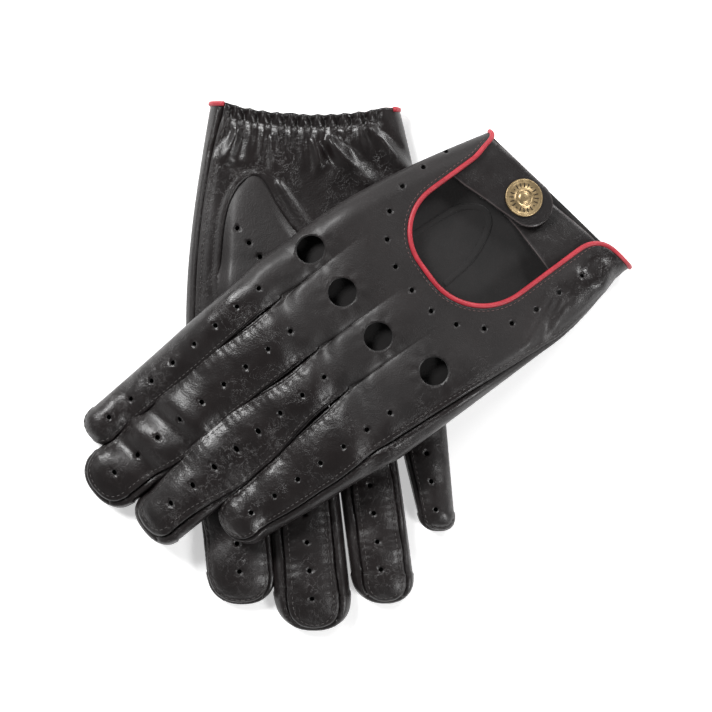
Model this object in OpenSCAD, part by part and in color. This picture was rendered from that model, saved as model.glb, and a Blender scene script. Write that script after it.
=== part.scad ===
// A pair of leather driving gloves with keyhole backs and snap straps.
//
// The right glove lies palm up and the left glove lies across it, back up. Each glove is
// drawn in its own frame: X from the middle of the cuff to the fingertips, Y towards the
// little finger and Z up. Lists of two hold the left glove's value and then the right
// glove's. Lists of four run from the index finger to the little finger, and lists of
// three hold the forks between the fingers in the same order.

/* [Leather] */
// Thickness of the back, palm and thumb leather
leather_t = 1; // [0.8:0.1:1.2]
// Thickness of the fourchettes, the strips between the fingers
fourchette_t = 0.8; // [0.6:0.1:1]
// Thickness of each strap and tab layer
strap_t = 0.85; // [0.7:0.05:1]
// Thickness of the turned hem and of the elastic in the palm's cuff
hem_t = 0.7; // [0.5:0.1:0.9]

/* [Cuff] */
// How far the palm's turned hem reaches from the cuff
hem_l = 9; // [6:0.5:12]
// Width of the elastic in the palm's cuff
elastic_l = 6; // [4:0.5:10]

/* [Hand] */
// Length from the cuff to the forks between the fingers
hand_l = 118; // [100:1:135]
// Width of the cuff, laid flat
cuff_w = 79; // [68:1:90]
// How far each glove widens on the index side
index_flare = [15, 11.5]; // [8:0.5:18]
// How far each glove widens on the little finger's side
little_flare = [6.5, 17.5]; // [4:0.5:20]
// How far each cuff's end slants
cuff_slant = [6.8, -1.8]; // [-8:0.2:8]
// Height of the room between palm and back
room = 9; // [8:0.5:11]
// Width of the rounding along the sides
side_round = 9; // [6:0.5:11]

/* [Fingers] */
// Length of the left glove's fingers past the forks, as they lie
left_finger_l = [97, 110, 102, 76]; // [50:1:125]
// Length of the right glove's fingers past the forks, as they lie
right_finger_l = [87, 100, 90, 60]; // [50:1:125]
// Width of the left fingers near their tips, as a share of their width at the forks
left_taper = [0.94, 0.93, 1, 0.67]; // [0.6:0.01:1]
// Width of the right fingers near their tips, as a share of their width at the forks
right_taper = [0.82, 0.98, 0.95, 0.93]; // [0.6:0.01:1]
// How far the left fingertips lean towards the little finger's side
left_lean = [2.3, 1.7, 4.8, -1.5]; // [-4:0.1:9]
// How far the right fingertips lean towards the little finger's side
right_lean = [4.3, 7.5, 8.5, 5.6]; // [-4:0.1:9]
// Height of a fourchette at its fork
fourchette_h = 6.5; // [4:0.5:8]
// Height of a fourchette at its end
fourchette_end_h = 1.8; // [1.4:0.1:3]
// Width of the slit between two fingers at their fork
fork_gap = 0.8; // [0.6:0.1:1.5]

/* [Thumb] */
// Width of the thumb
thumb_w = 25; // [20:0.5:28]
// Height of the thumb with both its sides
thumb_h = 8.5; // [7:0.5:10]
// Where the thumb's round root lies on the palm
thumb_root = [40, -14]; // [-30:1:50]
// Where the left thumb's tip lies
left_thumb_tip = [92, 21]; // [0:1:110]
// Where the right thumb's tip lies
right_thumb_tip = [97, 15]; // [0:1:110]

/* [Keyhole] */
// The keyhole's side towards the index finger
keyhole_lo = -36.5; // [-38:0.5:-30]
// The keyhole's side towards the little finger
keyhole_hi = 21.5; // [14:0.5:26]
// How far the keyhole reaches from the cuff
keyhole_l = 63.8; // [54:0.2:72]
// Radius of the keyhole's corner on the index side
keyhole_r_index = 22.5; // [16:0.5:24]
// Radius of the keyhole's corner on the little finger's side
keyhole_r_little = 26.5; // [18:0.5:28]
// Diameter of the piping's bead
piping_d = 2.1; // [1.6:0.1:2.6]
// How far the bead stands above the leather
piping_proud = [0.5, 0]; // [0:0.1:0.8]

/* [Holes] */
// Diameter of the knuckle holes
knuckle_d = 12; // [8:0.5:14]
// How far behind the forks each knuckle hole lies
knuckle_back = [22, 22, 23, 33]; // [18:1:40]
// Diameter of the vent holes
vent_d = 2; // [1.4:0.1:2.6]
// Distance between vent holes
vent_pitch = 11.8; // [9:0.1:15]
// Distance from the keyhole's edge to the vents around it
vent_offset = 8.6; // [6:0.2:10]

/* [Strap] */
// Where the snap lies on the back
snap_at = [11.6, -10.2]; // [-14:0.2:20]
// Direction of the strap, from its root to its free end
strap_turn = 105.4; // [98:0.2:110]
// Direction of the tab, from the snap to its root
tab_turn = 94.4; // [88:0.2:100]
// How much less the right tab turns than the left one
tab_square = 8.4; // [0:0.2:12]
// Width of the strap at the snap
strap_w = 19.5; // [17:0.5:22]
// Width of the strap where it bends
strap_root_w = 23; // [20:0.5:26]
// Distance from the snap to the line where the strap bends
strap_reach = 22; // [20:0.2:23]
// How far the strap's root is sewn under the back panel
root_overlap = 1.2; // [0.8:0.1:1.5]
// Distance from the snap to the strap's free end
strap_end = 13.4; // [12:0.2:16]
// How far the strap lies below the back panel's inner face
strap_drop = [0.15, 0.7]; // [0.1:0.05:1]
// Width of the tab at the snap
tab_w = 18.5; // [16:0.5:21]
// Width of the tab at its root
tab_root_w = 24; // [20:0.5:26]

/* [Snap] */
// Diameter of the brass cap
cap_d = 16; // [13:0.5:18]
// Height of the cap
cap_h = 1.6; // [1.3:0.1:2]
// Diameter of the socket under the strap
socket_d = 11; // [9:0.5:13]
// Height of the socket
socket_h = 1.8; // [1.5:0.1:2.2]
// Diameter of the stud's head
stud_d = 3.8; // [3:0.1:4.5]
// Thickness of the stud's plate and of its washer
plate_t = 0.5; // [0.4:0.1:0.8]
// Diameter of the rivets through the leather
rivet_d = 3; // [2.4:0.1:3.4]

/* [Pose] */
// Where the middle of each cuff lies: left glove
left_cuff = [85.3, 68.1]; // [-120:0.1:120]
// Where the middle of each cuff lies: right glove
right_cuff = [-21.8, 107.3]; // [-120:0.1:120]
// Direction of each glove, from the cuff to the fingertips
turn = [216.5, 270.8]; // [200:0.5:290]
// Height of the left glove's cuff above the table, in its middle
cuff_lift = 3.9; // [3.5:0.1:8]
// How much the left cuff falls for each millimetre towards the little finger
side_fall = 0.044; // [0.02:0.002:0.06]

/* [Hidden] */

LEFT = 0;
RIGHT = 1;
LOWER = 0;
UPPER = 1;

// Clearances: between touching pieces, at a sewn edge, under a curved panel, and between
// pieces that move apart
fit = 0.05;
seam = 0.15;
under = 0.3;
apart = 0.35;
rest_gap = 0.6;

finger_l = [left_finger_l, right_finger_l];
taper = [left_taper, right_taper];
lean = [left_lean, right_lean];
thumb_tip = [left_thumb_tip, right_thumb_tip];
cuff_at = [left_cuff, right_cuff];
// Where the forks lie across the hand, as shares of its width there
fork_share = [[0.18, 0.44, 0.647], [0.285, 0.546, 0.779]];
// How far along each side takes to reach its full width
index_flare_l = [95, 95];
little_flare_l = [40, hand_l];

// Rows of points along the hand and along a finger's straight part, and the angles of the
// rows round a fingertip
hand_rows = 12;
finger_rows = 6;
tip_angles = [25, 48, 68, 85];
// Columns of points across a finger
across = [0, 0.1, 0.28, 0.5, 0.72, 0.9, 1];

// The left glove's height over the table: on the right glove, and on both thumbs
glove_h = room + 2 * leather_t;
table_gap = 0.3;
on_glove = glove_h + rest_gap;
on_thumbs = thumb_h + rest_gap;
highest = table_gap + on_glove + on_thumbs;
cuff_rise = (0.9 * highest - cuff_lift) / keyhole_l;
// X over which the fingertips come down past the right glove's edge
fall_x = [right_cuff.x - 81, right_cuff.x - 39];
// Along the hand: where the thumbs stop holding the left glove up
thumbs_end = hand_l + 7;
thumbs_gone = hand_l + 57;

// The snap's layers, as depths under the back panel's outer face
strap_depth = [for (g = [LEFT, RIGHT]) leather_t + strap_drop[g]];
lining_depth = [for (d = strap_depth) d + strap_t + fit];
socket_depth = [for (d = lining_depth) d + strap_t + fit];
stud_depth = [for (d = socket_depth) d + socket_h + apart];
tab_angle = [tab_turn, tab_turn - tab_square];
tab_depth = [for (d = stud_depth) d + plate_t + fit];
tab_lining_depth = [for (d = tab_depth) d + strap_t + fit];
washer_depth = [for (d = tab_lining_depth) d + strap_t + fit];
root_depth = [for (g = [LEFT, RIGHT]) piping_d - piping_proud[g] + 2 * fit];

leather = "#2b2625";
suede = "#3a302c";
red = "#c8323c";
brass = "#9a7a4a";

// ---- curves ----

function lerp(a, b, t) = a + (b - a) * t;
function clamp(t) = min(1, max(0, t));
function ease(t) = let (c = clamp(t)) c * c * (3 - 2 * c);
function round_off(d, r) = let (q = 1 - clamp(d / r)) sqrt(1 - q * q);
function arc(centre, r, a0, a1, n) =
  [for (i = [0:n]) let (a = lerp(a0, a1, i / n)) centre + r * [cos(a), sin(a)]];

// ---- outline of the hand and fingers ----

function y_lo(g, x) =
  -cuff_w / 2 - index_flare[g] * sin(90 * clamp(x / index_flare_l[g]));
function y_hi(g, x) =
  cuff_w / 2 + little_flare[g] * sin(90 * clamp(x / little_flare_l[g]));
function cuff_x(g, y) = -cuff_slant[g] * y / (cuff_w / 2);
function fork_y(g, i) = lerp(y_lo(g, hand_l), y_hi(g, hand_l), fork_share[g][i]);
function edge_lo(g, k) = k == 0 ? y_lo(g, hand_l) : fork_y(g, k - 1) + fork_gap / 2;
function edge_hi(g, k) = k == 3 ? y_hi(g, hand_l) : fork_y(g, k) - fork_gap / 2;
function base_y(g, k) = (edge_lo(g, k) + edge_hi(g, k)) / 2;
function base_r(g, k) = (edge_hi(g, k) - edge_lo(g, k)) / 2;
function tip_r(g, k) = base_r(g, k) * taper[g][k];
function straight_l(g, k) = finger_l[g][k] - tip_r(g, k);
function finger_y(g, k, x) = base_y(g, k) + lean[g][k] * x / finger_l[g][k];

// ---- room between the panels ----

function side_h(g, k, x, outer) =
  outer ? seam : lerp(fourchette_h, fourchette_end_h, clamp(x / straight_l(g, k)));
// Room in a finger: x past the fork, s across it from 0 to 1, r its half width
function finger_room(g, k, x, s, r) =
  let (lo = side_h(g, k, x, k == 0), hi = side_h(g, k, x, k == 3))
  min(lo + (room - lo) * round_off(2 * s * r, min(side_round, r)),
      hi + (room - hi) * round_off(2 * (1 - s) * r, min(side_round, r)));
function share_of(g, x, y) = (y - y_lo(g, x)) / (y_hi(g, x) - y_lo(g, x));
function finger_at(g, s) = s < fork_share[g][0] ? 0 : s < fork_share[g][1] ? 1
  : s < fork_share[g][2] ? 2 : 3;
// Room in the hand, which takes on the fingers' ridges towards the forks
function hand_room(g, x, y) =
  let (s = share_of(g, x, y),
       k = finger_at(g, s),
       yf = lerp(y_lo(g, hand_l), y_hi(g, hand_l), s),
       sf = clamp((yf - edge_lo(g, k)) / (2 * base_r(g, k))),
       plain = max(seam, room * round_off(min(y - y_lo(g, x), y_hi(g, x) - y), side_round)))
  lerp(plain, finger_room(g, k, 0, sf, base_r(g, k)), ease((x / hand_l - 0.62) / 0.38));

// ---- height over the table ----

function row_x(g, x, y) = cuff_at[g].x + x * cos(turn[g]) - y * sin(turn[g]);
function drape(x, y) =
  let (cuff = cuff_lift + cuff_rise * x - side_fall * y,
       beyond = table_gap
         + on_glove * ease((row_x(LEFT, x, y) - fall_x[0]) / (fall_x[1] - fall_x[0]))
         + on_thumbs * (1 - ease((x - thumbs_end) / (thumbs_gone - thumbs_end))))
  lerp(cuff, beyond, ease((x - keyhole_l) / 32));
// Underside of the lower panel
function floor_z(g, x, y) = g == LEFT ? drape(x, y) : 0;
// Inner face of the back panel: the upper panel on the left glove, the lower on the right
function back_z(g, x, y) =
  floor_z(g, x, y) + leather_t + (g == LEFT ? hand_room(g, x, y) : 0);
function palm_z(g, x, y) =
  floor_z(g, x, y) + leather_t + (g == LEFT ? 0 : hand_room(g, x, y));
// A layer that lies d to d + t inside the back or palm panel's inner face, as [low, high]
function in_back(g, x, y, d, t) =
  let (z = back_z(g, x, y)) g == LEFT ? [z - d - t, z - d] : [z + d, z + d + t];
function in_palm(g, x, y, d, t) =
  let (z = palm_z(g, x, y)) g == LEFT ? [z + d, z + d + t] : [z - d - t, z - d];

// ---- solids from a grid of [x, y, low, high] ----

function quad(a, b, c, d) = [[a, b, c], [a, c, d]];

// Past fork_row, every band-th column of cells is left open: the slits between fingers
module slab(grid, fork_row = 1e6, band = 1e6) {
  rows = len(grid) - 1;
  cols = len(grid[0]) - 1;
  function id(layer, r, c) = (layer * (rows + 1) + r) * (cols + 1) + c;
  function on(r, c) = r >= 0 && r < rows && c >= 0 && c < cols
    && (r < fork_row || c % band != band - 1);
  corners = [[0, 0], [1, 0], [1, 1], [0, 1]];
  faces = [for (r = [0:rows - 1], c = [0:cols - 1]) if (on(r, c))
    let (lo = [for (k = corners) id(0, r + k.x, c + k.y)],
         hi = [for (k = corners) id(1, r + k.x, c + k.y)])
    each concat(
      quad(lo[0], lo[1], lo[2], lo[3]),
      quad(hi[0], hi[3], hi[2], hi[1]),
      on(r, c - 1) ? [] : quad(lo[0], hi[0], hi[1], lo[1]),
      on(r, c + 1) ? [] : quad(lo[3], lo[2], hi[2], hi[3]),
      on(r - 1, c) ? [] : quad(lo[0], lo[3], hi[3], hi[0]),
      on(r + 1, c) ? [] : quad(lo[1], hi[1], hi[2], lo[2]))];
  polyhedron([for (z = [2, 3], row = grid, p = row) [p.x, p.y, p[z]]], faces);
}

// ---- panels ----

// A point of the hand or of a finger: [x, y, room]
function hand_point(g, r, c) =
  let (k = floor(c / len(across)),
       yf = lerp(edge_lo(g, k), edge_hi(g, k), across[c % len(across)]),
       s = share_of(g, hand_l, yf),
       x0 = cuff_x(g, lerp(y_lo(g, 0), y_hi(g, 0), s)),
       x = lerp(x0, hand_l, r / hand_rows),
       y = lerp(y_lo(g, x), y_hi(g, x), s))
  [x, y, hand_room(g, x, y)];
function finger_point(g, k, j, s) =
  let (tip = j > finger_rows,
       a = tip ? tip_angles[j - finger_rows - 1] : 0,
       last = cos(tip_angles[len(tip_angles) - 1]),
       run = clamp(j / finger_rows),
       x = straight_l(g, k) * run + tip_r(g, k) * sin(a),
       r = lerp(base_r(g, k), tip_r(g, k), run) * cos(a),
       close = tip ? pow(clamp((cos(a) - last) / (1 - last)), 0.6) : 1,
       h = finger_room(g, k, x, s, lerp(base_r(g, k), tip_r(g, k), run)))
  [hand_l + x, finger_y(g, k, x) + r * (2 * s - 1), lerp(seam, h, close)];
function panel_point(g, r, c) = r <= hand_rows ? hand_point(g, r, c)
  : finger_point(g, floor(c / len(across)), r - hand_rows, across[c % len(across)]);

module panel(g, side) {
  rows = hand_rows + finger_rows + len(tip_angles);
  slab([for (r = [0:rows]) [for (c = [0:4 * len(across) - 1])
    let (p = panel_point(g, r, c),
         z = floor_z(g, p.x, p.y) + (side == UPPER ? leather_t + p[2] : 0))
    [p.x, p.y, z, z + leather_t]]], hand_rows, len(across));
}

module drill(d, x, y, sides = 8) {
  translate([x, y, -1]) cylinder(d = d, h = 60, $fn = sides);
}

module finger_vents(g) {
  for (k = [0:3]) {
    first = k == 3 ? -0.7 * vent_pitch : 0.4 * vent_pitch;
    for (x = [first:vent_pitch:finger_l[g][k] - 0.75 * vent_pitch])
      drill(vent_d, hand_l + x, finger_y(g, k, max(x, 0)));
  }
}

// The keyhole's edge moved outwards by d, from the index side of the cuff round to its
// other side
function keyhole_edge(d, n = 9) =
  let (ri = keyhole_r_index, rl = keyhole_r_little)
  concat(
    arc([keyhole_l - ri, keyhole_lo + ri], ri + d, -90, 0, n),
    arc([keyhole_l - rl, keyhole_hi - rl], rl + d, 0, 90, n));

module keyhole_2d() {
  for (side = [[keyhole_r_index, keyhole_lo, 1], [keyhole_r_little, keyhole_hi, -1]]) {
    r = side[0];
    y = side[1] + side[2] * r;
    translate([keyhole_l - r, y]) circle(r = r, $fn = 72);
    translate([-cuff_w / 2, min(y, side[1])]) square([keyhole_l - r + cuff_w / 2, r]);
  }
  lo = keyhole_lo + keyhole_r_index;
  hi = keyhole_hi - keyhole_r_little;
  translate([-cuff_w / 2, min(lo, hi)]) square([keyhole_l + cuff_w / 2, abs(hi - lo)]);
}

// Points at equal steps along a path
function path_l(path) = [for (i = 0, s = 0; i < len(path);
  s = s + (i + 1 < len(path) ? norm(path[i + 1] - path[i]) : 0), i = i + 1) s];
function on_path(path, s, l) =
  let (i = max([for (j = [0:len(path) - 2]) if (l[j] <= s) j]))
  lerp(path[i], path[i + 1], (s - l[i]) / (l[i + 1] - l[i]));

module keyhole_vents() {
  d = vent_offset;
  route = concat([[24, keyhole_lo - d * 0.7]], keyhole_edge(d), [[14, keyhole_hi + d]]);
  l = path_l(route);
  for (s = [0:vent_pitch:l[len(l) - 1]]) {
    p = on_path(route, s, l);
    drill(vent_d, p.x, p.y);
  }
}

module back_panel(g) {
  color(leather) difference() {
    panel(g, g == LEFT ? UPPER : LOWER);
    translate([0, 0, -1]) linear_extrude(60) keyhole_2d();
    for (k = [0:3])
      drill(knuckle_d, hand_l - knuckle_back[k], base_y(g, k) - (k == 3 ? 3 : 0), 48);
    finger_vents(g);
    keyhole_vents();
  }
}

module palm_panel(g) {
  color(leather) difference() {
    panel(g, g == LEFT ? LOWER : UPPER);
    drill(0.68 * thumb_w, thumb_root.x, thumb_root.y, 48);
    finger_vents(g);
  }
}

// The strip between fingers i and i + 1: down one finger, round the fork, up the other
module fourchette(g, i) {
  clear = 2 * fit;
  function stand(x, y, h) =
    let (z = floor_z(g, x, y) + leather_t + clear) [x, y, z, z + h - 2 * clear];
  function along(k, j, way) =
    let (x = straight_l(g, k) * j / finger_rows,
         p = finger_point(g, k, j, way > 0 ? 1 : 0),
         h = side_h(g, k, x, false))
    [for (w = [clear, clear + fourchette_t]) stand(p.x, p.y - way * w, h)];
  function round_fork(y, way) =
    [for (w = [clear, clear + fourchette_t])
      stand(hand_l - under - w, y - way * w, fourchette_h)];
  color(leather) slab(concat(
    [for (j = [finger_rows:-1:0]) along(i, j, 1)],
    [round_fork(edge_hi(g, i), 1), round_fork(edge_lo(g, i + 1), -1)],
    [for (j = [0:finger_rows]) along(i + 1, j, -1)]));
}

// ---- thumb ----

// Past its rounded root the thumb is a flat tube that lies on the palm
module thumb(g, side) {
  run = thumb_tip[g] - thumb_root;
  dir = run / norm(run);
  r = thumb_w / 2;
  l = norm(run);
  inner = thumb_h - 2 * leather_t;
  stops = concat([for (a = [75, 45, 20]) -r * sin(a)], [for (i = [0:5]) (l - r) * i / 5],
    [for (a = tip_angles) l - r + r * sin(a)]);
  function half(x) = let (past = max(-x, x - (l - r), 0)) sqrt(r * r - past * past);
  function point(x, s) =
    let (y = half(x) * (2 * s - 1),
         p = thumb_root + dir * x + [-dir.y, dir.x] * y,
         open = x < 0 ? 0.45 : 1,
         near = max(-x, x - (l - r), 0),
         edge = r - norm([near, y]),
         h = max(seam, inner * round_off(edge, 0.8 * r) * lerp(0.5, open, clamp(x / r + 0.3))),
         z = g == LEFT ? drape(p.x, p.y) - under - 2 * leather_t - h
           : 2 * leather_t + hand_room(g, p.x, p.y) + under,
         zs = z + (side == UPPER ? leather_t + h : 0))
    [p.x, p.y, zs, zs + leather_t];
  color(leather) slab([for (x = stops) [for (s = across) point(x, s)]]);
}

module thumb_front(g) {
  thumb(g, g == LEFT ? LOWER : UPPER);
}

module thumb_back(g) {
  thumb(g, g == LEFT ? UPPER : LOWER);
}

// ---- piping ----

module piping(g) {
  r = piping_d / 2;
  off = r + 2 * fit;
  corner = cuff_x(g, keyhole_hi) - off;
  end_y = cuff_w / 2 - 1.4;
  side = [for (i = [1:8]) lerp(corner, keyhole_l - keyhole_r_little, 1 - i / 9)];
  route = concat(
    [[cuff_x(g, -end_y) - off, -end_y], [cuff_x(g, -end_y) - off, keyhole_lo + off]],
    [for (i = [1:4]) [lerp(corner + 12, keyhole_l - keyhole_r_index, i / 5), keyhole_lo + off]],
    keyhole_edge(-off),
    [for (x = side) [x, keyhole_hi - off]],
    [[corner, keyhole_hi - off]],
    [for (i = [1:7]) let (y = lerp(keyhole_hi, end_y, i / 7)) [cuff_x(g, y) - off, y]]);
  n = len(route);
  sides = 8;
  function centre(p) = g == LEFT
    ? back_z(g, p.x, p.y) + leather_t + piping_proud[g] - r : r - piping_proud[g];
  function across_of(i) =
    let (t = route[min(i + 1, n - 1)] - route[max(i - 1, 0)], u = t / norm(t)) [-u.y, u.x];
  rings = [for (i = [0:n - 1], a = [0:sides - 1])
    let (w = across_of(i), b = 360 * (a + 0.5) / sides, p = route[i])
    [p.x + r * cos(b) * w.x, p.y + r * cos(b) * w.y, centre(p) + r * sin(b)]];
  tube = [for (i = [0:n - 2], a = [0:sides - 1])
    let (b = (a + 1) % sides)
    each quad(i * sides + a, i * sides + b, (i + 1) * sides + b, (i + 1) * sides + a)];
  ends = [[for (a = [sides - 1:-1:0]) a], [for (a = [0:sides - 1]) (n - 1) * sides + a]];
  color(red) polyhedron(rings, concat(tube, ends));
}

// ---- cuff ----

// A strip inside the palm's cuff, from x0 to x1 past the cuff's edge
module cuff_strip(g, x0, x1, t) {
  reach = cuff_w / 2 - side_round;
  slab([for (x = [x0, (x0 + x1) / 2, x1]) [for (i = [0:12])
    let (y = lerp(-reach, reach, i / 12), z = in_palm(g, cuff_x(g, y) + x, y, under, t))
    [cuff_x(g, y) + x, y, z[0], z[1]]]]);
}

module palm_hem(g) {
  color(suede) cuff_strip(g, 0.6, hem_l, hem_t);
}

module wrist_elastic(g) {
  color("#1c1a1a") cuff_strip(g, hem_l + 2, hem_l + 2 + elastic_l, hem_t);
}

// ---- strap, tab and snap ----

// The snap's frame: the back panel's outer face is z = 0, and outwards is +Z
module on_snap(g, a) {
  if (g == LEFT) {
    z = drape(snap_at.x, snap_at.y) + glove_h;
    tilt = [-side_fall, -cuff_rise, 0];
    translate([snap_at.x, snap_at.y, z]) rotate(a = atan(norm(tilt)), v = tilt)
      rotate([0, 0, a]) children();
  } else
    translate([snap_at.x, snap_at.y, 0]) mirror([0, 0, 1]) rotate([0, 0, a]) children();
}

module strap_2d() {
  end = strap_end - strap_w / 2;
  start = -strap_reach + apart / 2;
  translate([end, 0]) circle(d = strap_w, $fn = 72);
  polygon([[start, -strap_root_w / 2], [end, -strap_w / 2], [end, strap_w / 2],
    [start, strap_root_w / 2]]);
}

module strap_layer(g, depth) {
  on_snap(g, strap_turn) translate([0, 0, -depth - strap_t]) linear_extrude(strap_t)
    difference() {
      strap_2d();
      circle(d = rivet_d + 2 * fit, $fn = 32);
    }
}

module strap(g) {
  color(leather) strap_layer(g, strap_depth[g]);
}

module strap_lining(g) {
  color(suede) strap_layer(g, lining_depth[g]);
}

// The strap's sewn end: it comes from under the back panel and the piping to the bend
module strap_root(g) {
  dir = [cos(strap_turn), sin(strap_turn)];
  sewn_y = keyhole_lo - root_overlap;
  function sewn_x(w) = (sewn_y - snap_at.y - dir.x * w) / dir.y;
  function point(w, s) =
    let (p = snap_at + dir * lerp(sewn_x(w), -strap_reach - apart / 2, s) + [-dir.y, dir.x] * w,
         z = in_back(g, p.x, p.y, root_depth[g] - leather_t, 2 * strap_t - under))
    [p.x, p.y, z[0], z[1]];
  color(leather) slab([for (s = [0, 0.5, 1]) [for (i = [0:4])
    point(strap_root_w * (i / 4 - 0.5), s)]]);
}

// The tab runs flat under the strap and rises to the keyhole's far edge
module tab_layer(g, depth, sewn_depth) {
  r = tab_w / 2;
  root = (keyhole_hi - snap_at.y) / sin(tab_angle[g]);
  stops = concat([for (a = [75, 50, 25]) -r * sin(a)],
    [for (i = [0:9]) lerp(0, root + 3.5, i / 9)]);
  function half(x) = x < 0 ? sqrt(r * r - x * x)
    : lerp(r, tab_root_w / 2, clamp((x - r) / (root - r)));
  on_snap(g, tab_angle[g]) difference() {
    slab([for (x = stops) [for (s = [-1, 0, 1])
      let (d = lerp(depth, sewn_depth, ease((x - 0.75 * r) / (root - 0.75 * r - 2))))
      [x, s * half(x), -d - strap_t, -d]]]);
    translate([0, 0, -20]) cylinder(d = rivet_d + 2 * fit, h = 40, $fn = 32);
  }
}

module tab(g) {
  color(leather) tab_layer(g, tab_depth[g], root_depth[g]);
}

module tab_lining(g) {
  color(suede) tab_layer(g, tab_lining_depth[g], root_depth[g] + strap_t + fit);
}

module snap_cap(g) {
  r = cap_d / 2;
  base = -strap_depth[g] + fit;
  shank = 2 * strap_t + 2 * fit + 0.25 * socket_h;
  color(brass) on_snap(g, strap_turn) {
    translate([0, 0, base]) rotate_extrude($fn = 72)
      polygon([[0, 0], [r, 0], [r, 0.4 * cap_h], [0.92 * r, 0.8 * cap_h],
        [0.78 * r, 0.8 * cap_h], [0.74 * r, 0.6 * cap_h], [0.5 * r, 0.6 * cap_h],
        [0.46 * r, cap_h], [0, cap_h]]);
    translate([0, 0, base - shank]) cylinder(d = rivet_d, h = shank, $fn = 32);
  }
}

module snap_socket(g) {
  deep = 0.68 * socket_h;
  color(brass) on_snap(g, strap_turn) translate([0, 0, -socket_depth[g] - socket_h])
    difference() {
      cylinder(d = socket_d, h = socket_h, $fn = 48);
      translate([0, 0, -1]) cylinder(d = stud_d + 2 * apart + 0.2, h = deep + 1, $fn = 48);
      cylinder(d = rivet_d + 2 * fit, h = socket_h + 1, $fn = 32);
    }
}

module snap_stud(g) {
  shank = 2 * strap_t + 3 * fit + 0.8 * plate_t;
  color(brass) on_snap(g, strap_turn) translate([0, 0, -stud_depth[g]]) {
    translate([0, 0, -plate_t]) cylinder(d = 0.85 * socket_d, h = plate_t, $fn = 48);
    cylinder(d = stud_d, h = 0.55 * socket_h + apart, $fn = 48);
    translate([0, 0, -plate_t - shank]) cylinder(d = rivet_d, h = shank + fit, $fn = 32);
  }
}

module snap_washer(g) {
  color(brass) on_snap(g, strap_turn) translate([0, 0, -washer_depth[g] - plate_t])
    difference() {
      cylinder(d = 0.75 * socket_d, h = plate_t, $fn = 48);
      translate([0, 0, -1]) cylinder(d = rivet_d + 2 * fit, h = 3, $fn = 32);
    }
}

// ---- the two gloves ----

module place(g) {
  translate([cuff_at[g].x, cuff_at[g].y, 0]) rotate([0, 0, turn[g]]) children();
}

place(LEFT) back_panel(LEFT);  // left_back_panel
place(LEFT) palm_panel(LEFT);  // left_palm_panel
place(LEFT) fourchette(LEFT, 0);  // left_fourchette_index
place(LEFT) fourchette(LEFT, 1);  // left_fourchette_middle
place(LEFT) fourchette(LEFT, 2);  // left_fourchette_ring
place(LEFT) thumb_front(LEFT);  // left_thumb_front
place(LEFT) thumb_back(LEFT);  // left_thumb_back
place(LEFT) piping(LEFT);  // left_piping
place(LEFT) palm_hem(LEFT);  // left_palm_hem
place(LEFT) wrist_elastic(LEFT);  // left_wrist_elastic
place(LEFT) strap(LEFT);  // left_strap
place(LEFT) strap_lining(LEFT);  // left_strap_lining
place(LEFT) strap_root(LEFT);  // left_strap_root
place(LEFT) tab(LEFT);  // left_tab
place(LEFT) tab_lining(LEFT);  // left_tab_lining
place(LEFT) snap_cap(LEFT);  // left_snap_cap
place(LEFT) snap_socket(LEFT);  // left_snap_socket
place(LEFT) snap_stud(LEFT);  // left_snap_stud
place(LEFT) snap_washer(LEFT);  // left_snap_washer
place(RIGHT) back_panel(RIGHT);  // right_back_panel
place(RIGHT) palm_panel(RIGHT);  // right_palm_panel
place(RIGHT) fourchette(RIGHT, 0);  // right_fourchette_index
place(RIGHT) fourchette(RIGHT, 1);  // right_fourchette_middle
place(RIGHT) fourchette(RIGHT, 2);  // right_fourchette_ring
place(RIGHT) thumb_front(RIGHT);  // right_thumb_front
place(RIGHT) thumb_back(RIGHT);  // right_thumb_back
place(RIGHT) piping(RIGHT);  // right_piping
place(RIGHT) palm_hem(RIGHT);  // right_palm_hem
place(RIGHT) wrist_elastic(RIGHT);  // right_wrist_elastic
place(RIGHT) strap(RIGHT);  // right_strap
place(RIGHT) strap_lining(RIGHT);  // right_strap_lining
place(RIGHT) strap_root(RIGHT);  // right_strap_root
place(RIGHT) tab(RIGHT);  // right_tab
place(RIGHT) tab_lining(RIGHT);  // right_tab_lining
place(RIGHT) snap_cap(RIGHT);  // right_snap_cap
place(RIGHT) snap_socket(RIGHT);  // right_snap_socket
place(RIGHT) snap_stud(RIGHT);  // right_snap_stud
place(RIGHT) snap_washer(RIGHT);  // right_snap_washer
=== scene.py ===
from math import atan, cos, pi, radians, sin, sqrt, tan
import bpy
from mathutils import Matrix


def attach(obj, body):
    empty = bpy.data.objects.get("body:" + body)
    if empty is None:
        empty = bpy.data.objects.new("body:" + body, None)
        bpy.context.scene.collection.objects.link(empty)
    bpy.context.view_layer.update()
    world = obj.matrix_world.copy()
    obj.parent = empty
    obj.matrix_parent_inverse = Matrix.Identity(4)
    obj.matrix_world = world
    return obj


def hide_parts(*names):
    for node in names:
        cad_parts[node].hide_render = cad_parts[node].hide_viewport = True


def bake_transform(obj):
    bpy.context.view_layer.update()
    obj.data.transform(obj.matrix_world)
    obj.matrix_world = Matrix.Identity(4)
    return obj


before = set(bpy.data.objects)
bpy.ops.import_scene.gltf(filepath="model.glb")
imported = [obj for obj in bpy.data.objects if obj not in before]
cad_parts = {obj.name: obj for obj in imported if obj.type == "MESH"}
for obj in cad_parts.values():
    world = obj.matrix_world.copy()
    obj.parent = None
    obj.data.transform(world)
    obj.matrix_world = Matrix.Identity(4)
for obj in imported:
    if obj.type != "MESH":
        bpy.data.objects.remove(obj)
from types import SimpleNamespace

import bpy
import numpy as np
from mathutils import Matrix, Vector, kdtree, noise
from mathutils.geometry import delaunay_2d_cdt

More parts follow.
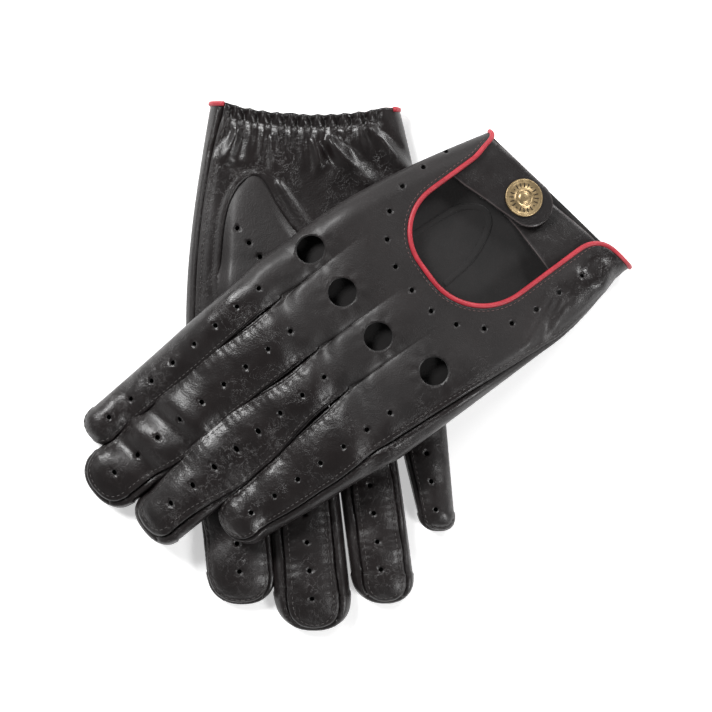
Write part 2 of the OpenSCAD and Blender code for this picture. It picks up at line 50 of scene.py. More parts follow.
# Lengths are in millimetres until a mesh is made. Each glove is built in its own frame,
# the one the CAD uses: X from the middle of the cuff to the fingertips, Y towards the
# little finger, Z up. Its leather is laid out flat first, as p along the glove and q
# across it, so that slits, holes and seams are loops in one sheet.

MM = 0.001
LEFT, RIGHT = 0, 1
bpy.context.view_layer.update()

# ---- sizes shared with the CAD model ----

HAND_L, CUFF_W = 118.0, 79.0
GLOVE_H = 11.0
LEATHER_T, SKIN_T = 1.0, 0.85
FORK_GAP = 0.8
KEY_LO, KEY_HI, KEY_L = -36.5, 21.5, 63.8
KEY_R_LO, KEY_R_HI = 22.5, 26.5
PIPING_R = 1.05
KNUCKLE_D, VENT_D, VENT_PITCH, VENT_OFFSET = 12.0, 2.0, 11.8, 8.6
KNUCKLE_BACK = (22, 22, 23, 33)
SNAP = (11.6, -10.2)
STRAP_TURN, TAB_TURN = 105.4, (94.4, 86.0)
STRAP_T = 0.85
STRAP_W, STRAP_ROOT_W, STRAP_REACH, STRAP_END = 19.5, 23.0, 22.0, 13.4
TAB_W, TAB_ROOT_W = 18.5, 24.0
CAP_D, CAP_H, SOCKET_H, PLATE_T = 16.0, 1.6, 1.8, 0.5
THUMB_W, THUMB_H, THUMB_ROOT = 25.0, 8.5, (40.0, -14.0)
TABLE_GAP, REST_GAP = 0.3, 0.6
CUFF_LIFT, SIDE_FALL = 3.9, 0.044
ON_GLOVE, ON_THUMBS = GLOVE_H + REST_GAP, THUMB_H + REST_GAP
CUFF_RISE = (0.9 * (TABLE_GAP + ON_GLOVE + ON_THUMBS) - CUFF_LIFT) / KEY_L
LEFT_CUFF, LEFT_TURN = (85.3, 68.1), 216.5
RIGHT_CUFF, RIGHT_TURN = (-21.8, 107.3), 270.8
FALL_X = (RIGHT_CUFF[0] - 81, RIGHT_CUFF[0] - 39)
THUMBS_END, THUMBS_GONE = HAND_L + 7, HAND_L + 57
STRAP_DEPTH = (1.15, 1.7)
ROOT_DEPTH = (1.7, 2.2)

# ---- sizes of the sewn gloves ----

SIDE_ARC, SIDE_FLAT = 12.0, 9.0
SEAM_Z, TIP_Z, WALL_Z = 3.5, 3.0, 2.2
WALL_H, WALL_END_H = 5.6, 2.0
SLIT = 2.0
# How blunt the fingertips are: 2 is a half circle
BLUNT = 2.35
# delaunay_2d_cdt's way to fill the inside of outlines
FILL_INSIDE = 1
FINE, COARSE = 1.1, 2.4
# A seam nearer to the silhouette than this is out of sight, and has no stitches
SEAM_SEEN = 0.7
FOURCHETTE_T = 0.7
# Between a strap's leather, its lining and the snap
LAYER_GAP = 0.05
# Two places along the strap's leather from the hinge, which build_strap puts in the row frame but
# then doesn't use
HINGE_BEND = (-2.2, 3.2)


def lerp(a, b, t):
    return a + (b - a) * t


def clamp(t):
    return np.clip(t, 0.0, 1.0)


def ease(t):
    t = clamp(t)
    return t * t * (3 - 2 * t)


def hill(x, middle, width):
    return np.exp(-(((x - middle) / width) ** 2))


def unit(v):
    return v / np.maximum(np.linalg.norm(v, axis=-1, keepdims=True), 1e-12)


def outer_side(k, t):
    """Whether side t of finger k is one of the glove's two outer sides."""
    return ((k == 0) & (t < 0)) | ((k == 3) & (t > 0))


def wobble(points, size, seed):
    """Smooth noise from -1 to 1 at each point, with bumps of that size."""
    shift = Vector((seed * 1.7, seed * 3.1, seed * 0.9))
    return np.array([noise.noise(Vector(p) / size + shift) for p in points])


def route_length(route):
    """The length along a route at each of its points."""
    return np.r_[0, np.cumsum(np.linalg.norm(np.diff(route, axis=0), axis=1))]


def on_route(route, lengths):
    """The points at those lengths along a route."""
    s = route_length(route)
    return np.stack([np.interp(lengths, s, values) for values in route.T], 1)


def circle(x, y, d, n=14):
    a = np.arange(n) * 2 * pi / n
    return np.stack([x + d / 2 * np.cos(a), y + d / 2 * np.sin(a)], 1)


def tree_of(points):
    tree = kdtree.KDTree(len(points))
    for i, v in enumerate(points):
        tree.insert((*v, 0), i)
    tree.balance()
    return tree


def drape(x, y):
    """Height of the left glove's underside over the table."""
    a = radians(LEFT_TURN)
    row_x = LEFT_CUFF[0] + x * cos(a) - y * sin(a)
    beyond = TABLE_GAP + ON_GLOVE * ease((row_x - FALL_X[0]) / (FALL_X[1] - FALL_X[0]))
    beyond = beyond + ON_THUMBS * (1 - ease((x - THUMBS_END) / (THUMBS_GONE - THUMBS_END)))
    return lerp(CUFF_LIFT + CUFF_RISE * x - SIDE_FALL * y, beyond, ease((x - KEY_L) / 32))


# ---- one glove's layout and shape ----


class Glove:
    """One glove's layout and shape. Its tuples have a value for each finger, index first."""

    def __init__(self, g, side, cuff, turn, flare, hi_l, slant, forks, finger_l, taper, lean,
                 insets, wrap, full):
        self.g, self.side, self.left = g, side, g == LEFT
        self.cuff, self.turn, self.slant = cuff, radians(turn), slant
        self.flare, self.hi_l = flare, hi_l
        self.insets, self.wrap, self.full = insets, wrap, full
        lo, hi = self.y_lo(HAND_L), self.y_hi(HAND_L)
        edges = np.array([lo, *(lerp(lo, hi, s) for s in forks), hi])
        self.mid = (edges[1:] + edges[:-1]) / 2
        self.half = (edges[1:] - edges[:-1]) / 2
        self.tip = (self.half - FORK_GAP / 2) * np.array(taper)
        self.finger_l = np.array(finger_l, float)
        self.lean = np.array(lean)
        self.straight = self.finger_l - self.tip
        self.q_half = 1.1 * self.half
        self.q_edge = np.concatenate([[0], np.cumsum(2 * self.q_half)])
        self.q_mid = (self.q_edge[1:] + self.q_edge[:-1]) / 2
        self.q_all = self.q_edge[-1]

    def y_lo(self, x):
        return -CUFF_W / 2 - self.flare[0] * np.sin(pi / 2 * clamp(np.asarray(x) / 95))

    def y_hi(self, x):
        return CUFF_W / 2 + self.flare[1] * np.sin(pi / 2 * clamp(np.asarray(x) / self.hi_l))

    def cuff_x(self, y):
        return -self.slant * y / (CUFF_W / 2)

    def floor(self, x, y):
        return drape(x, y) if self.left else np.zeros_like(x)

    def row(self, points):
        """From the glove's frame, in millimetres, to the row frame, in metres."""
        points = np.asarray(points, float)
        c, s = cos(self.turn), sin(self.turn)
        x = self.cuff[0] + points[:, 0] * c - points[:, 1] * s
        y = self.cuff[1] + points[:, 0] * s + points[:, 1] * c
        return np.stack([x, y, points[:, 2]], 1) * MM

    def shift(self, p, k):
        """How far the slits between the fingers push finger k across the layout."""
        return k * SLIT * np.maximum(np.asarray(p) - HAND_L, 0) / 30

    def unfold(self, p, q):
        """Finger, place across it, and way past its straight part for a layout point."""
        k = np.zeros(len(p), int)
        for i in (1, 2, 3):
            k += q > self.q_edge[i] + self.shift(p, i - 0.5)
        qc = q - self.shift(p, k)
        t = (qc - self.q_mid[k]) / self.q_half[k]
        w = np.maximum(p - HAND_L - self.straight[k], 0) / self.q_half[k]
        return k, qc, t, w

    def lay(self, p, q, upper):
        """Where layout points lie on the glove, with what the relief needs to know."""
        p, q = np.asarray(p, float), np.asarray(q, float)
        k, qc, t, w = self.unfold(p, q)
        rho = np.maximum(np.hypot(t, w), 1e-9)
        phi = np.minimum(rho, 1) * pi / 2
        x = np.maximum(p - HAND_L, 0)
        run = clamp(x / self.straight[k])
        a = lerp(self.half[k], self.tip[k], run) - FORK_GAP / 2 * ease(x / 6)
        a = np.where(w > 0, self.tip[k], a)
        along = np.minimum(x, self.straight[k]) + self.tip[k] * np.sin(phi) * w / rho
        mid = self.mid[k] + self.lean[k] * along / self.finger_l[k]
        lo_full, hi_full, hi_from = (np.array(self.full, float)[k, i] for i in range(3))
        lo_full, hi_full = lo_full * ease((x - 14) / 34), hi_full * ease((x - hi_from) / 34)
        full = np.where(t > 0, hi_full, lo_full * (1 - ease((x - 0.68 * self.straight[k]) / 30)))
        blunt = (np.abs(t / rho) ** BLUNT + (w / rho) ** BLUNT) ** (-1 / BLUNT)
        blunt = lerp(1, blunt, ease(w * 2))
        fx = HAND_L + np.minimum(x, self.straight[k]) + self.tip[k] * np.sin(phi) * w / rho * blunt
        fy = mid + (a + full) * np.sin(phi) * t / rho * blunt
        outer = outer_side(k, t)
        wall = lerp(WALL_H, WALL_END_H, run)
        side = (t / rho) ** 2
        edge_up = lerp(TIP_Z, np.where(outer, SEAM_Z, WALL_Z + wall), side)
        edge_dn = lerp(TIP_Z, np.where(outer, SEAM_Z, WALL_Z), side)
        c = np.maximum(np.cos(phi), 0)
        height = GLOVE_H * lerp(1, 0.94, ease(w))
        if upper:
            fz = edge_up + (height - edge_up) * c**0.85
        else:
            fz = edge_dn * (1 - c**0.8)
        # the hand, whose sides round off evenly and whose far end takes the fingers' shape
        far = ease((p - 60) / 58)
        hx = p.copy()
        for _ in range(2):
            lo, hi = self.y_lo(hx), self.y_hi(hx)
            width = hi - lo
            near_lo, near_hi = qc, self.q_all - qc
            turn_lo, turn_hi = (clamp(d / SIDE_ARC) * pi / 2 for d in (near_lo, near_hi))
            flat = lerp(SIDE_FLAT, width - SIDE_FLAT, (qc - SIDE_ARC) / (self.q_all - 2 * SIDE_ARC))
            flat = np.where(near_lo < SIDE_ARC, SIDE_FLAT * (1 - np.cos(turn_lo)), flat)
            flat = np.where(near_hi < SIDE_ARC, width - SIDE_FLAT * (1 - np.cos(turn_hi)), flat)
            lo_f, hi_f = self.y_lo(HAND_L), self.y_hi(HAND_L)
            share = lerp(flat / width, (fy - lo_f) / (hi_f - lo_f), far)
            hy = lerp(lo, hi, share)
            start = self.cuff_x(hy)
            hx = lerp(start, HAND_L, p / HAND_L)
        rise = np.sin(turn_lo) * np.sin(turn_hi)
        hz = lerp(SEAM_Z, GLOVE_H, rise) if upper else SEAM_Z * (1 - rise)
        hz = lerp(hz, fz, far)
        on_hand = p <= HAND_L
        x_out = np.where(on_hand, hx, fx)
        y_out = np.where(on_hand, hy, fy)
        z_out = np.where(on_hand, hz, fz) + self.floor(x_out, y_out)
        edge = np.where(on_hand, np.minimum(qc, self.q_all - qc), (1 - rho) * self.q_half[k])
        return SimpleNamespace(
            pos=np.stack([x_out, y_out, z_out], 1), p=p, q=q, k=k, t=t, w=w, rho=rho,
            edge=edge, on_hand=on_hand, inset=self.inset(p, k, t, rho),
        )

    def inset(self, p, k, t, rho):
        """How far in from the glove's silhouette the upper panel's seam runs."""
        x = np.maximum(p - HAND_L, 0)
        lo, front, hi = (np.array([row[i] for row in self.insets])[k] for i in range(3))
        v = t / np.maximum(rho, 1e-9)
        side = np.where(v < 0, lo, hi)
        wrapped = -1 if not self.left else 1
        outer = outer_side(k, v)
        far = lerp(front, side, np.where(x > self.straight[k], v * v, 1.0))
        hand = np.interp(p, [0, 18, 40, 80, HAND_L], self.wrap) * (v * wrapped > 0)
        if self.left:
            # between the fingers the strip shows only near the tips
            hidden = lerp(0.8, far, ease((x - self.finger_l[k] + 46) / 28))
            far = np.where(outer, far, np.minimum(far, hidden))
        inner = far * ease((x - 2) / 12)
        seen = np.where(outer, lerp(hand, far, ease(x / 30)), inner)
        return self.unrolled(seen, p, k)

    def unrolled(self, seen, p, k):
        """A distance in from the silhouette, seen from above, as a distance in the layout."""
        finger = self.q_half[k] * (1 - 2 / pi * np.arcsin(clamp(1 - seen / self.half[k])))
        hand = SIDE_ARC * 2 / pi * np.arccos(clamp(1 - seen / SIDE_FLAT))
        return np.where(seen > 0.05, lerp(hand, finger, ease((p - 60) / 58)), 0)

    def find(self, x, y, k=None):
        """The layout point at a place of the glove, seen from above."""
        x, y = np.asarray(x, float), np.asarray(y, float)
        p = HAND_L * (x - self.cuff_x(y)) / (HAND_L - self.cuff_x(y))
        lo, hi = np.zeros_like(p), np.full_like(p, self.q_all)
        for _ in range(24):
            q = (lo + hi) / 2
            low = self.lay(np.minimum(p, HAND_L), q, True).pos[:, 1] < y
            lo, hi = np.where(low, q, lo), np.where(low, hi, q)
        q = (lo + hi) / 2
        if k is not None:
            past = x > HAND_L
            fx = x - HAND_L
            dx = np.maximum(fx - self.straight[k], 0)
            run = clamp(fx / self.straight[k])
            a = lerp(self.half[k], self.tip[k], run) - FORK_GAP / 2 * ease(fx / 6)
            dy = y - self.mid[k] - self.lean[k] * fx / self.finger_l[k]
            far = np.maximum(np.hypot(dx, dy), 1e-9)
            rho = 2 / pi * np.arcsin(clamp(far / a))
            fp = HAND_L + np.minimum(fx, self.straight[k]) + self.q_half[k] * rho * dx / far
            fq = self.q_mid[k] + self.q_half[k] * rho * dy / far
            p = np.where(past, fp, p)
            q = np.where(past, fq + self.shift(fp, k), q)
        return p, q


LEFT_GLOVE = Glove(
    LEFT, "left", LEFT_CUFF, LEFT_TURN, flare=(15, 6.5), hi_l=40, slant=6.8,
    forks=(0.18, 0.44, 0.647), finger_l=(99, 111.5, 104, 76), taper=(0.92, 0.96, 1, 0.64),
    lean=(6.4, 3.8, 5.0, -1.0), wrap=(0, 0.3, 1.2, 5.2, 8.2),
    insets=((0, 0, 0.9), (0.8, 1.4, 3.3), (0.9, 2.0, 3.5), (0.9, 0.9, 6.0)),
    full=((0, 1.0, 14), (2.4, 3.0, 46), (4.4, 4.4, 14), (0, 1.0, 14)),
)
RIGHT_GLOVE = Glove(
    RIGHT, "right", RIGHT_CUFF, RIGHT_TURN, flare=(11.5, 17.5), hi_l=HAND_L, slant=-1.8,
    forks=(0.285, 0.546, 0.779), finger_l=(89.5, 101, 90, 60), taper=(0.94, 1.17, 1.07, 0.69),
    lean=(7.0, 7.6, 10.6, 9.0), wrap=(6.8, 4.6, 4.0, 4.2, 4.2),
    insets=((0.9, 0.9, 2.4), (5.0, 1.0, 4.4), (5.0, 1.0, 3.0), (3.0, 0.9, 0)),
    full=((0, 0.5, 14), (0, 0.3, 14), (0, 0.3, 14), (0, 0, 14)),
)
GLOVES = (LEFT_GLOVE, RIGHT_GLOVE)


# ---- loops of the layout ----


def evenly(a, b, step):
    """Numbers from a towards b, a step apart, without b."""
    n = max(1, round(abs(b - a) / step))
    return a + (b - a) * np.arange(n) / n


def arc(cx, cy, r, a0, a1, step):
    """Points round an arc, angles in degrees."""
    angles = np.radians(evenly(a0, a1, np.degrees(step / r)))
    return np.stack([cx + r * np.cos(angles), cy + r * np.sin(angles)], 1)


def keyhole_path(d=0.0, step=1.0, corner=0.0):
    """The keyhole's edge moved outwards by d, from its little finger's side to its other
    side, as x and y. With a corner radius the cuff's corner is rounded too."""
    start = evenly(corner if corner else 0, KEY_L - KEY_R_HI, step)
    parts = []
    if corner:
        parts.append(arc(corner, KEY_HI + corner + d, corner, 180, 270, step))
    parts.append(np.stack([start, np.full_like(start, KEY_HI + d)], 1))
    parts.append(arc(KEY_L - KEY_R_HI, KEY_HI - KEY_R_HI, KEY_R_HI + d, 90, 0, step))
    between = evenly(KEY_HI - KEY_R_HI, KEY_LO + KEY_R_LO, step)
    if KEY_HI - KEY_R_HI > KEY_LO + KEY_R_LO:
        parts.append(np.stack([np.full_like(between, KEY_L + d), between], 1))
    parts.append(arc(KEY_L - KEY_R_LO, KEY_LO + KEY_R_LO, KEY_R_LO + d, 0, -90, step))
    end = np.append(evenly(KEY_L - KEY_R_LO, 0, step), 0.0)
    sweep = KEY_SWEEP * (1 - ease(end / 17)) if corner else 0
    parts.append(np.stack([end, KEY_LO - d - sweep + 0 * end], 1))
    return np.concatenate(parts)


CUFF_CORNER = 8.0
# How far the keyhole's other side bends out towards the cuff's other corner
KEY_SWEEP = 2.2
# How far along the glove the palm is cut open under the right thumb
HOLE_END = 76.0
# The open thumb's edge: the arch at its root and the outer side, then the inner side
OPEN_THUMB_ROOT = (
    (29.2, -17.8), (27.4, -20.6), (28.1, -23.4), (31.0, -27.0), (36.4, -30.6), (42.8, -33.1),
    (52.4, -34.7), (63.7, -35.6), (74.0, -36.6), (88.0, -34.0), (100.0, -18.0), (108.0, 0.0),
)
OPEN_THUMB_SIDE = (
    (86.0, 24.0), (70.0, 12.5), (60.0, 3.8), (51.1, -4.8), (46.0, -8.2), (39.7, -11.9),
    (33.2, -15.2),
)
THUMB_VENTS = ((50, -28.6), (56.3, -23.7), (62.2, -19.2), (68, -14.6), (74, -10))
THUMB_SEAM = np.array([
    (62, -25.5), (46, -24.5), (35.8, -23.7), (28, -18), (28, -12), (33.3, -7.5), (46, -2),
    (60, -1),
])
# The cap's face from its rim to its middle, as shares of the cap's radius and height
CAP_FACE = (
    (0.86, 0.66), (0.83, 0.56), (0.50, 0.60), (0.47, 0.78), (0.43, 0.80), (0.40, 0.62),
    (0.30, 0.64), (0.27, 0.86), (0.18, 0.95), (0.02, 1.0),
)


def keyhole_line(glove, d, step, corner, start=-1.0):
    """keyhole_path on the glove's slanted cuff, as a line of the layout."""
    x, y = keyhole_path(d, step, corner).T
    x, y = x[x > start], y[x > start]
    p, q = glove.find(x + glove.cuff_x(y) * (1 - ease(x / 30)), y)
    return np.maximum(p, 0), q


def cuff_edge(glove, step):
    """The back panel's cuff edge with the keyhole in it, as a line of the layout."""
    p, q = keyhole_line(glove, 0, step, CUFF_CORNER)
    high, low = evenly(glove.q_all, q[0] + step, step), evenly(q[-1] - step, 0, step)
    return np.concatenate([0 * high, p, 0 * low]), np.concatenate([high, q, low])


def outline(glove, keyhole):
    """The panel's closed edge in the layout, and for each edge which side it is on: the
    finger, -1 or 1 for its low or high side, and 0 at the cuff and the hand's sides."""
    points, finger, side = [], [], []

    def add(p, q, k, s):
        points.append(np.stack([p, q + glove.shift(p, k)], 1))
        finger.extend([k] * len(p))
        side.extend([s] * len(p))

    for k in range(4):
        c, a = glove.q_mid[k], glove.q_half[k]
        end = HAND_L + glove.straight[k]
        p = evenly(0 if k == 0 else HAND_L, end, FINE)
        add(p, np.full_like(p, c - a), k, -1 if k else 0)
        for part, s in (((-90, 0), -1), ((0, 90), 1)):
            add(*arc(end, c, a, *part, FINE).T, k, 0 if outer_side(k, s) else s)
        p = evenly(end, 0 if k == 3 else HAND_L, FINE)
        add(p, np.full_like(p, c + a), k, 1 if k < 3 else 0)
    q = evenly(glove.q_all, 0, FINE)
    add(*(cuff_edge(glove, FINE) if keyhole else (np.zeros_like(q), q)), 0, 0)
    return np.concatenate(points), np.array(finger), np.array(side)


def side_line(glove, k, s, p, off):
    """A line of the layout that runs off inside the seam on side s of finger k, and how
    far in from the silhouette the seam is."""
    inset = glove.inset(p, np.full(len(p), k), np.full(len(p), float(s)), 1.0)
    q = glove.q_mid[k] + s * (glove.q_half[k] - inset - off)
    return np.stack([p, q + glove.shift(p, k)], 1), inset


def tip_line(glove, k, angles, off):
    """The same for the seam round finger k's tip."""
    v, end = np.sin(angles), HAND_L + glove.straight[k]
    inset = glove.inset(np.full(len(v), end + 1.0), np.full(len(v), k), v, 1.0)
    r = glove.q_half[k] - inset - off
    p = end + r * np.cos(angles)
    return np.stack([p, glove.q_mid[k] + r * v + glove.shift(p, k)], 1), inset


def seams(glove):
    """Points along the upper panel's seams, with one more row on the panel's side."""
    lines = []
    for k in range(4):
        for s in (-1, 1):
            start = 0 if outer_side(k, s) else HAND_L
            p = evenly(start, HAND_L + glove.straight[k], FINE * 0.9)
            lines += [side_line(glove, k, s, p, off) for off in (0.0, 0.75)]
        angles = np.radians(np.linspace(-90, 90, round(pi * glove.q_half[k] / FINE)))
        lines += [tip_line(glove, k, angles, off) for off in (0.0, 0.75)]
    return np.concatenate([line[inset > SEAM_SEEN] for line, inset in lines])


def round_hole(glove, x, y, d, k, n):
    return np.stack(glove.find(*circle(x, y, d, n).T, k), 1)


def finger_vents(glove, k, back):
    first = (-0.7 if k == 3 else 0.4) * VENT_PITCH + (VENT_PITCH / 2 if back != glove.left else 0)
    for x in np.arange(first, glove.finger_l[k] - 0.75 * VENT_PITCH, VENT_PITCH):
        yield HAND_L + x, glove.mid[k] + glove.lean[k] * max(x, 0) / glove.finger_l[k]


def keyhole_vents():
    route = keyhole_path(VENT_OFFSET, 0.5)
    return on_route(route, np.arange(VENT_PITCH, route_length(route)[-1] - 14, VENT_PITCH))


def knuckles(glove):
    for k in range(4):
        yield HAND_L - KNUCKLE_BACK[k], glove.mid[k] - (3 if k == 3 else 0)


def holes(glove, back):
    found = [round_hole(glove, x, y, VENT_D, k, 14)
             for k in range(4) for x, y in finger_vents(glove, k, back)]
    if back:
        found += [round_hole(glove, x, y, KNUCKLE_D, None, 44) for x, y in knuckles(glove)]
        found += [round_hole(glove, x, y, VENT_D, None, 14) for x, y in keyhole_vents()]
    elif not glove.left:
        # the palm's cut edge round the thumb's root
        x, y = thumb_outline(glove).T
        found.append(np.stack(glove.find(x[x < HOLE_END], y[x < HOLE_END]), 1))
    return found


def shrink(loop, d):
    """A closed loop of evenly spaced points, moved inwards by d."""
    before, after = np.roll(loop, 1, 0), np.roll(loop, -1, 0)
    out = unit((after - before)[:, ::-1]) * [1, -1]
    return loop - out * d * np.sign(np.sum(loop[:, 0] * after[:, 1] - after[:, 0] * loop[:, 1]))


def inside(points, loop):
    """Whether each point lies in a closed loop."""
    result = np.zeros(len(points), bool)
    near = np.where(((points > loop.min(0)) & (points < loop.max(0))).all(1))[0]
    x, y = points[near, 0:1], points[near, 1:2]
    x0, y0 = loop.T
    x1, y1 = np.roll(x0, -1), np.roll(y0, -1)
    level = np.where(np.abs(y1 - y0) < 1e-9, 1e-9, y1 - y0)
    crossing = ((y0 > y) != (y1 > y)) & (x < x0 + (y - y0) * (x1 - x0) / level)
    result[near] = crossing.sum(1) % 2 == 1
    return result


def triangulate(loops, extra, step, clear):
    """Fills the first loop, leaves the others open, and returns points and triangles."""
    points = [tuple(v) for v in np.concatenate([*loops, extra])]
    edges, start = [], 0
    for loop in loops:
        edges += [(start + i, start + (i + 1) % len(loop)) for i in range(len(loop))]
        start += len(loop)
    tree = tree_of(points)
    lo, hi = np.min(loops[0], axis=0), np.max(loops[0], axis=0)
    for r, p in enumerate(np.arange(lo[0], hi[0], step * sqrt(3) / 2)):
        for q in np.arange(lo[1] + (r % 2) * step / 2, hi[1], step):
            if tree.find((p, q, 0))[2] > clear:
                points.append((p, q))
    result = delaunay_2d_cdt([Vector(v) for v in points], edges, [], FILL_INSIDE, 1e-6)
    flat, faces = np.array([tuple(v) for v in result[0]]), np.array([list(f) for f in result[2]])
    for loop in loops[1:]:
        faces = faces[~inside(flat[faces].mean(1), loop)]
    return flat, faces


# ---- relief: what sewing, wear and gathers do to the leather ----

# Dents across each finger: how far past the fork, slant, depth and width
LEFT_DENTS = (
    ((10, 0.3, 0.5, 5), (46, -0.2, 0.5, 5), (78, 0.5, 1.0, 4)),
    ((4, 0.5, 0.9, 4.5), (45, -0.3, 0.5, 6), (69, -0.35, 1.7, 4.2), (88, -0.3, 1.3, 4)),
    ((2, 0.6, 1.1, 4.5), (34, -0.4, 0.5, 5), (72, 0.2, 0.6, 7)),
    ((3, 0.6, 1.2, 5), (36, -0.3, 0.5, 5), (58, 0.2, 0.7, 5)),
)
RIGHT_DENTS = (
    ((30, 0.2, 0.5, 6), (60, -0.2, 0.6, 5)),
    ((40, 0.1, 0.5, 6), (72, 0.2, 0.6, 5)),
    ((36, -0.3, 0.6, 4), (58, 0.2, 0.7, 4), (76, -0.2, 0.5, 4)),
    ((20, 0.1, 0.5, 5), (40, -0.1, 0.4, 5)),
)
# Gathers of the right cuff, as an angle for each millimetre along it
GATHERS = 2 * pi / 5.6
# Long folds of the right palm: both ends, how high they stand and how wide they are
FOLDS = (
    (12, 10, 34, 28, 2.1, 3.0), (8, 27, 29, 43, 1.6, 2.2), (12, 14, 30, 15, 0.8, 3.0),
    (11, 3, 24, 7, 1.1, 1.8), (11, -10, 24, -10, 0.9, 1.7), (10, -14, 24, -13, 0.9, 1.4),
    (10, -28, 22, -34, 1.2, 2.2), (31, -11, 53, 2, 1.2, 2.0), (24, -32, 27, -22, -0.7, 2.2),
)


# Folds that run from the left cuff's corner, in the same way
CORNER_FOLDS = (
    (12, 30, 34, 39, 1.3, 2.9), (4, 27, 22, 35, -1.1, 2.6), (20, 31, 42, 42, -0.9, 2.4),
    (26, 30, 48, 40, 0.7, 2.2), (0, 33, 9, 39, 1.1, 2.8),
)


def along_line(x, y, x0, y0, x1, y1):
    """How far along a line each point lies, from 0 to 1, and how far from it."""
    dx, dy = x1 - x0, y1 - y0
    t = ((x - x0) * dx + (y - y0) * dy) / (dx * dx + dy * dy)
    c = clamp(t)
    return t, np.hypot(x - x0 - c * dx, y - y0 - c * dy)


def finger_relief(glove, s, dents):
    """Bulges, dents and puckers of the fingers, in millimetres outwards."""
    on = ease((s.p - HAND_L + 10) / 18)
    middle = 1 - s.rho**2
    out = np.zeros(len(s.p))
    for k in range(4):
        mine = s.k == k
        across = s.t * glove.half[k]
        for x, slant, depth, width in dents[k]:
            away = s.p - HAND_L - x - slant * across
            out -= mine * depth * np.exp(-((away / width) ** 2)) * clamp(middle + 0.15)
            out += mine * 0.45 * depth * hill(away, 1.9 * width, width) * clamp(middle)
            out += mine * 0.45 * depth * hill(away, -1.9 * width, width) * clamp(middle)
    seam = s.edge - s.inset
    puckers = np.sin(s.p * 2 * pi / 3.3 + 2.5 * wobble(s.pos, 5, 31)) * hill(seam, 2.2, 2.0)
    out += 0.13 * puckers * on
    out += on * (0.40 * wobble(s.pos, 13, 4) + 0.17 * wobble(s.pos, 5, 7))
    return out * lerp(0, 1, ease((s.p - HAND_L + 14) / 12))


def sewn_edge(s, is_panel):
    """The step where the panel is sewn over the next piece, and its stitched groove."""
    away = s.edge - s.inset
    if is_panel:
        step = 0.25 * hill(away, 0.4, 0.9) - 0.22 * hill(away, 2.0, 0.7)
    else:
        step = -1.25 * hill(away, 0, 1.1) + 0.3 * hill(away, -2.6, 1.4)
    return ease((s.inset - 0.6) / 0.6) * step


def gather_turn(y):
    """The angle of the right cuff's gathers at y."""
    return GATHERS * (y + 0.5 * wobble(np.stack([y, 0 * y, 0 * y], 1), 9, 21))


def back_relief(glove, s):
    x, y = s.pos[:, 0], s.pos[:, 1]
    out = finger_relief(glove, s, LEFT_DENTS if glove.left else RIGHT_DENTS)
    hand = 1 - ease((s.p - HAND_L + 12) / 14)
    rim = clamp(np.min([np.hypot(x - kx, y - ky) for kx, ky in knuckles(glove)], axis=0) / 12)
    out += hand * (0.45 * wobble(s.pos, 34, 2) + 0.12 * wobble(s.pos, 9, 3)) * rim
    for kx, ky in knuckles(glove):
        r = np.hypot(x - kx, y - ky)
        angle = np.arctan2(y - ky, x - kx)
        out += 0.16 * np.cos(angle * 9 + kx) * hill(r, KNUCKLE_D / 2 + 2.6, 2.2)
        out += 0.18 * hill(r, KNUCKLE_D / 2, 0.9)
    # soft dip between the knuckles and the finger roots, and swelling at the finger roots
    for i in range(3):
        fork = glove.mid[i] + glove.half[i]
        out -= 1.0 * hill(x, HAND_L + 1, 7) * hill(y, fork, 4.5)
        out += 0.5 * hill(x, HAND_L - 11, 5) * hill(y, fork, 8)
    # the cuff's little finger corner rolls over, and creases run from it
    out += 1.6 * hill(x, 12, 14) * hill(y, CUFF_W / 2 - 6, 8)
    for x0, y0, x1, y1, high, wide in CORNER_FOLDS if glove.left else ():
        t, r = along_line(x, y, x0, y0, x1, y1)
        out += high * np.exp(-((r / wide) ** 2)) * ease(t * 3 + 0.8) * ease(3.6 - 3 * t)
    return out


def palm_relief(glove, s):
    x, y = s.pos[:, 0], s.pos[:, 1]
    out = finger_relief(glove, s, RIGHT_DENTS if not glove.left else LEFT_DENTS)
    out += 0.5 * wobble(s.pos, 26, 12) * ease(s.edge / 8)
    gathered = ease((y + 37) / 6) * ease((37 - y) / 10) * ease(s.edge / 5)
    turn = gather_turn(y)
    crest = 0.5 + 0.5 * np.cos(turn)
    into = np.abs((turn / (2 * pi)) % 1 - 0.5) * 2 * pi / GATHERS
    out += gathered * 1.3 * crest**0.8 * hill(s.p, 1.5, 3.6)
    valley = np.exp(-((into / lerp(1.9, 0.5, clamp(s.p / 5))) ** 2))
    out -= gathered * 1.7 * valley * ease(s.p / 1.2) * (1 - ease((s.p - 4) / 2.6))
    out -= gathered * 0.8 * hill(s.p, 5.6, 1.2)
    wider = turn * lerp(1, 0.86, ease((s.p - 8) / 22)) + 0.8 * wobble(s.pos, 16, 23)
    loose = 0.5 + 0.5 * np.cos(wider)
    out += gathered * 0.85 * loose * hill(s.p, 9.5, 4.0)
    out += gathered * 0.45 * loose * ease((s.p - 8) / 5) * (1 - ease((s.p - 15) / 12))
    if not glove.left:
        d = edge_distance(np.stack([x, y], 1), thumb_outline(glove))
        out += 0.28 * hill(d, 1.3, 1.1) - 0.2 * hill(d, 3.5, 0.6)
        out += 0.12 * np.cos(2 * pi * x / 2.0) * hill(d, 3.5, 1.2) * (y < -16)
    for x0, y0, x1, y1, high, wide in FOLDS:
        t, r = along_line(x, y, x0, y0, x1, y1)
        width = wide * lerp(0.6, 1.25, clamp(t))
        ends = ease(t * 3 + 0.6) * ease((1.2 - t) * 2.6)
        out += high * np.exp(-((r / width) ** 2)) * ends
        out -= 0.35 * high * hill(r, 2.1 * width, 0.8 * width) * ends
    return out


